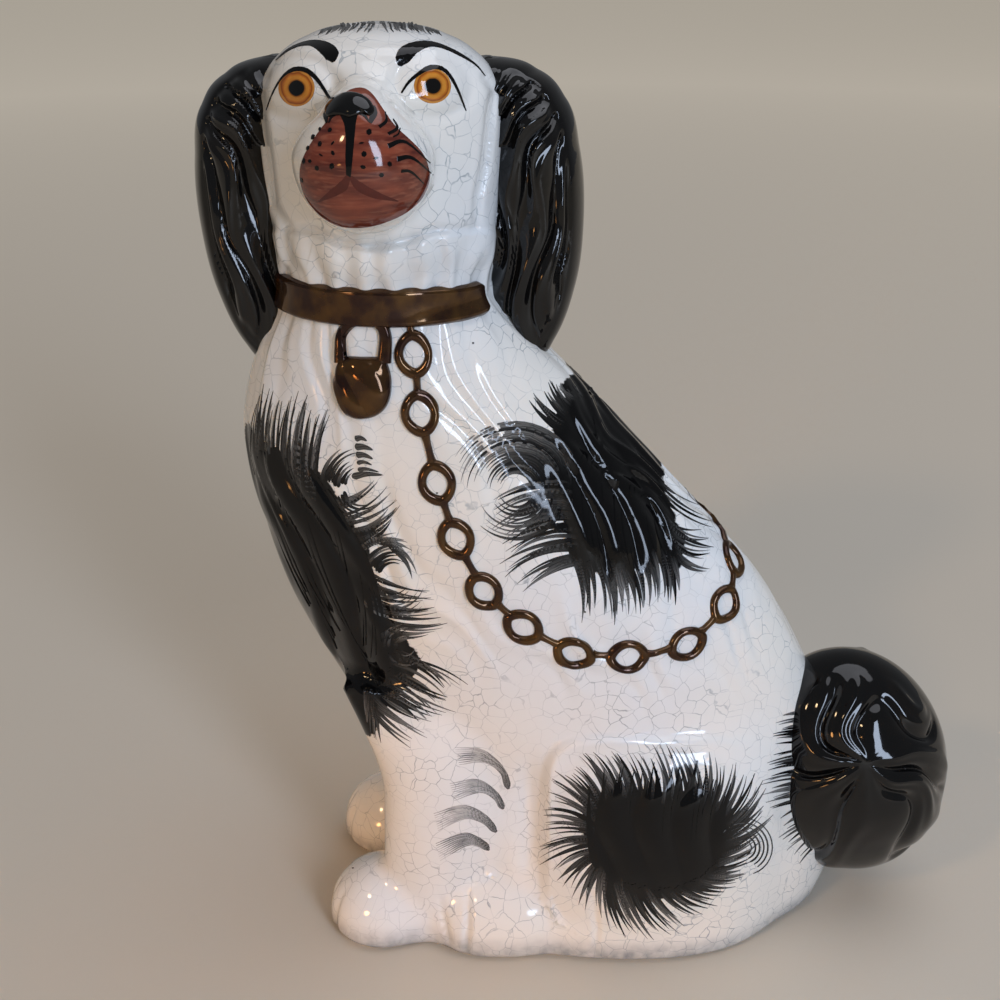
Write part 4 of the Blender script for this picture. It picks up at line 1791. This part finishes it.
# ---- Settings ----------------------------------------------------------------
def length(name, mm, description):
    """A size that the user may change, held in metres."""
    return bpy.props.FloatProperty(
        name=name, description=description, default=mm * MM, min=0.0, precision=5, subtype="DISTANCE",
    )


def paint(name, code, description):
    """A colour that the user may change, given as sRGB hex."""
    return bpy.props.FloatVectorProperty(
        name=name, description=description, default=linear(code), size=4, min=0.0, max=1.0, subtype="COLOR",
    )


def power(name, watts, description):
    """A lamp's power that the user may change, in watts."""
    return bpy.props.FloatProperty(name=name, description=description, default=watts, min=0.0, unit="POWER")


class SPANIEL_PG_sizes(bpy.types.PropertyGroup):
    """Sizes of the modelling, the sprigs and the glaze."""
    wall: length("Wall", WALL, "Thickness of the pressed body")
    hair_depth: length("Hair depth", 0.75, "How deep the hair is modelled in the clay")
    stroke_lift: length("Stroke lift", 0.15, "How far a brush stroke stands proud of the glaze")
    craze_cell: length("Crazing cell", 5.2, "How far the cracks of the glaze are apart")
    craze_width: length(
        "Crazing width", 0.095, "Width of a crack, about twice the real hairline so that it shows",
    )
    collar_width: length("Collar width", 12.0, "Width of the relief collar")
    collar_proud: length("Collar height", 2.2, "How far the collar stands proud")
    link_half_length: length("Link half length", 5.9, "Half the length of a chain link, to the bar's middle")
    link_half_width: length("Link half width", 4.6, "Half the width of a chain link, to the bar's middle")
    link_bar: length("Link bar", 1.6, "Half the width of the bar that a link is made of")
    link_proud: length("Link height", 1.5, "How far a link stands proud")
    lock_proud: length("Padlock height", 3.9, "How far the padlock stands proud")


class SPANIEL_PG_colours(bpy.types.PropertyGroup):
    """Colours of the enamels, the clay and the floor."""
    white_cool: paint("White, cool", "#E3E6E8", "Glaze where it looks bluish")
    white_warm: paint("White, warm", "#E9E6DF", "Glaze where the clay shows through")
    craze_line: paint("Crazing", "#7E8A93", "Cracks in the glaze")
    wash: paint("Foot wash", "#6A727A", "Grey wash round the foot")
    black: paint("Black enamel", "#080809", "Coat, ears, tail and brush strokes")
    lustre_dark: paint("Lustre, dark", "#33201A", "Copper lustre where it is thin")
    lustre_light: paint("Lustre, light", "#5A4022", "Copper lustre where it has pooled")
    iron_red_dark: paint("Iron red, dark", "#55221A", "Muzzle, in the brush's streaks")
    iron_red_light: paint("Iron red, light", "#87432F", "Muzzle, between the streaks")
    biscuit: paint("Biscuit", "#CFC4AF", "Bare clay under the foot")
    floor: paint("Floor", "#D3C9B9", "Table under the figure")


class SPANIEL_PG_lights(bpy.types.PropertyGroup):
    """Lamps of the stage."""
    window: power("Window", 14.0, "Cool window at the right")
    warm: power("Warm lamp", 4.2, "Small warm lamp at the left")
    low: power("Low lamp", 0.085, "Warm glow on the paws")
    above: power("Ceiling", 16.5, "Broad light from above")
    room: bpy.props.FloatProperty(
        name="Room", description="Strength of the light all round", default=0.2, min=0.0, subtype="FACTOR",
    )


# ---- Operators and panel -----------------------------------------------------
class SPANIEL_OT_body(bpy.types.Operator):
    """Add the two halves of the pressed body"""
    bl_idname = "spaniel.body"
    bl_label = "Body"

    def execute(self, context):
        body()
        return {"FINISHED"}


class SPANIEL_OT_forelegs(bpy.types.Operator):
    """Add both forelegs with their paws"""
    bl_idname = "spaniel.forelegs"
    bl_label = "Forelegs"

    def execute(self, context):
        forelegs()
        return {"FINISHED"}


class SPANIEL_OT_hind_feet(bpy.types.Operator):
    """Add both hind feet with their hocks"""
    bl_idname = "spaniel.hind_feet"
    bl_label = "Hind feet"

    def execute(self, context):
        hind_feet()
        return {"FINISHED"}


class SPANIEL_OT_head(bpy.types.Operator):
    """Add the face with its muzzle, and the back of the head"""
    bl_idname = "spaniel.head"
    bl_label = "Head"

    def execute(self, context):
        head()
        return {"FINISHED"}


class SPANIEL_OT_ears(bpy.types.Operator):
    """Add both hanging ears"""
    bl_idname = "spaniel.ears"
    bl_label = "Ears"

    def execute(self, context):
        ears()
        return {"FINISHED"}


class SPANIEL_OT_tail(bpy.types.Operator):
    """Add the curled tail"""
    bl_idname = "spaniel.tail"
    bl_label = "Tail"

    def execute(self, context):
        tail()
        return {"FINISHED"}


class SPANIEL_OT_collar(bpy.types.Operator):
    """Add the relief collar"""
    bl_idname = "spaniel.collar"
    bl_label = "Collar"

    def execute(self, context):
        collar()
        return {"FINISHED"}


class SPANIEL_OT_padlock(bpy.types.Operator):
    """Add the padlock and its shackle"""
    bl_idname = "spaniel.padlock"
    bl_label = "Padlock"

    def execute(self, context):
        padlock()
        return {"FINISHED"}


class SPANIEL_OT_chain(bpy.types.Operator):
    """Add the links and the stems of the chain"""
    bl_idname = "spaniel.chain"
    bl_label = "Chain"

    def execute(self, context):
        chain()
        return {"FINISHED"}


class SPANIEL_OT_face_enamel(bpy.types.Operator):
    """Add the enamel of the muzzle, the eyes and the nose"""
    bl_idname = "spaniel.face_enamel"
    bl_label = "Face enamel"

    def execute(self, context):
        face_paint()
        return {"FINISHED"}


class SPANIEL_OT_face_lines(bpy.types.Operator):
    """Add the brushwork of the face and the crown"""
    bl_idname = "spaniel.face_lines"
    bl_label = "Face brushwork"

    def execute(self, context):
        face_lines()
        return {"FINISHED"}


class SPANIEL_OT_coat_lines(bpy.types.Operator):
    """Add the brushwork of the coat"""
    bl_idname = "spaniel.coat_lines"
    bl_label = "Coat brushwork"

    def execute(self, context):
        coat_paint()
        return {"FINISHED"}


class SPANIEL_OT_foot(bpy.types.Operator):
    """Give the slab under the foot its bare clay"""
    bl_idname = "spaniel.foot"
    bl_label = "Foot"

    def execute(self, context):
        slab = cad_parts["foot_slab"]
        slab.data.materials.clear()
        slab.data.materials.append(finish(bare_biscuit))
        return {"FINISHED"}


class SPANIEL_OT_stage(bpy.types.Operator):
    """Add the floor, the lamps and the camera"""
    bl_idname = "spaniel.stage"
    bl_label = "Stage"

    def execute(self, context):
        stage()
        return {"FINISHED"}


OPERATORS = (
    SPANIEL_OT_body, SPANIEL_OT_forelegs, SPANIEL_OT_hind_feet, SPANIEL_OT_head, SPANIEL_OT_ears,
    SPANIEL_OT_tail, SPANIEL_OT_collar, SPANIEL_OT_padlock, SPANIEL_OT_chain, SPANIEL_OT_face_enamel,
    SPANIEL_OT_face_lines, SPANIEL_OT_coat_lines, SPANIEL_OT_foot, SPANIEL_OT_stage,
)
GROUPS = {
    "spaniel_sizes": SPANIEL_PG_sizes,
    "spaniel_colours": SPANIEL_PG_colours,
    "spaniel_lights": SPANIEL_PG_lights,
}


class SPANIEL_PT_sidebar(bpy.types.Panel):
    """The settings, and a button for each piece"""
    bl_idname = "SPANIEL_PT_sidebar"
    bl_label = "Spaniel figure"
    bl_space_type = "VIEW_3D"
    bl_region_type = "UI"
    bl_category = "Spaniel"

    def draw(self, context):
        for name, group in GROUPS.items():
            column = self.layout.column(align=True)
            for setting in group.__annotations__:
                column.prop(getattr(context.scene, name), setting)
        for kind in OPERATORS:
            self.layout.operator(kind.bl_idname)


def register():
    """Registers the classes and puts each group of settings on the scene."""
    for kind in (*GROUPS.values(), *OPERATORS, SPANIEL_PT_sidebar):
        bpy.utils.register_class(kind)
    for name, group in GROUPS.items():
        setattr(bpy.types.Scene, name, bpy.props.PointerProperty(type=group))


def unregister():
    """Takes the settings off the scene and unregisters the classes."""
    for name in GROUPS:
        delattr(bpy.types.Scene, name)
    for kind in (SPANIEL_PT_sidebar, *reversed(OPERATORS), *GROUPS.values()):
        bpy.utils.unregister_class(kind)


def main():
    """Registers the classes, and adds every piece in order."""
    register()
    for kind in OPERATORS:
        getattr(bpy.ops.spaniel, kind.bl_idname.split(".")[1])()


if __name__ == "__main__":
    main()
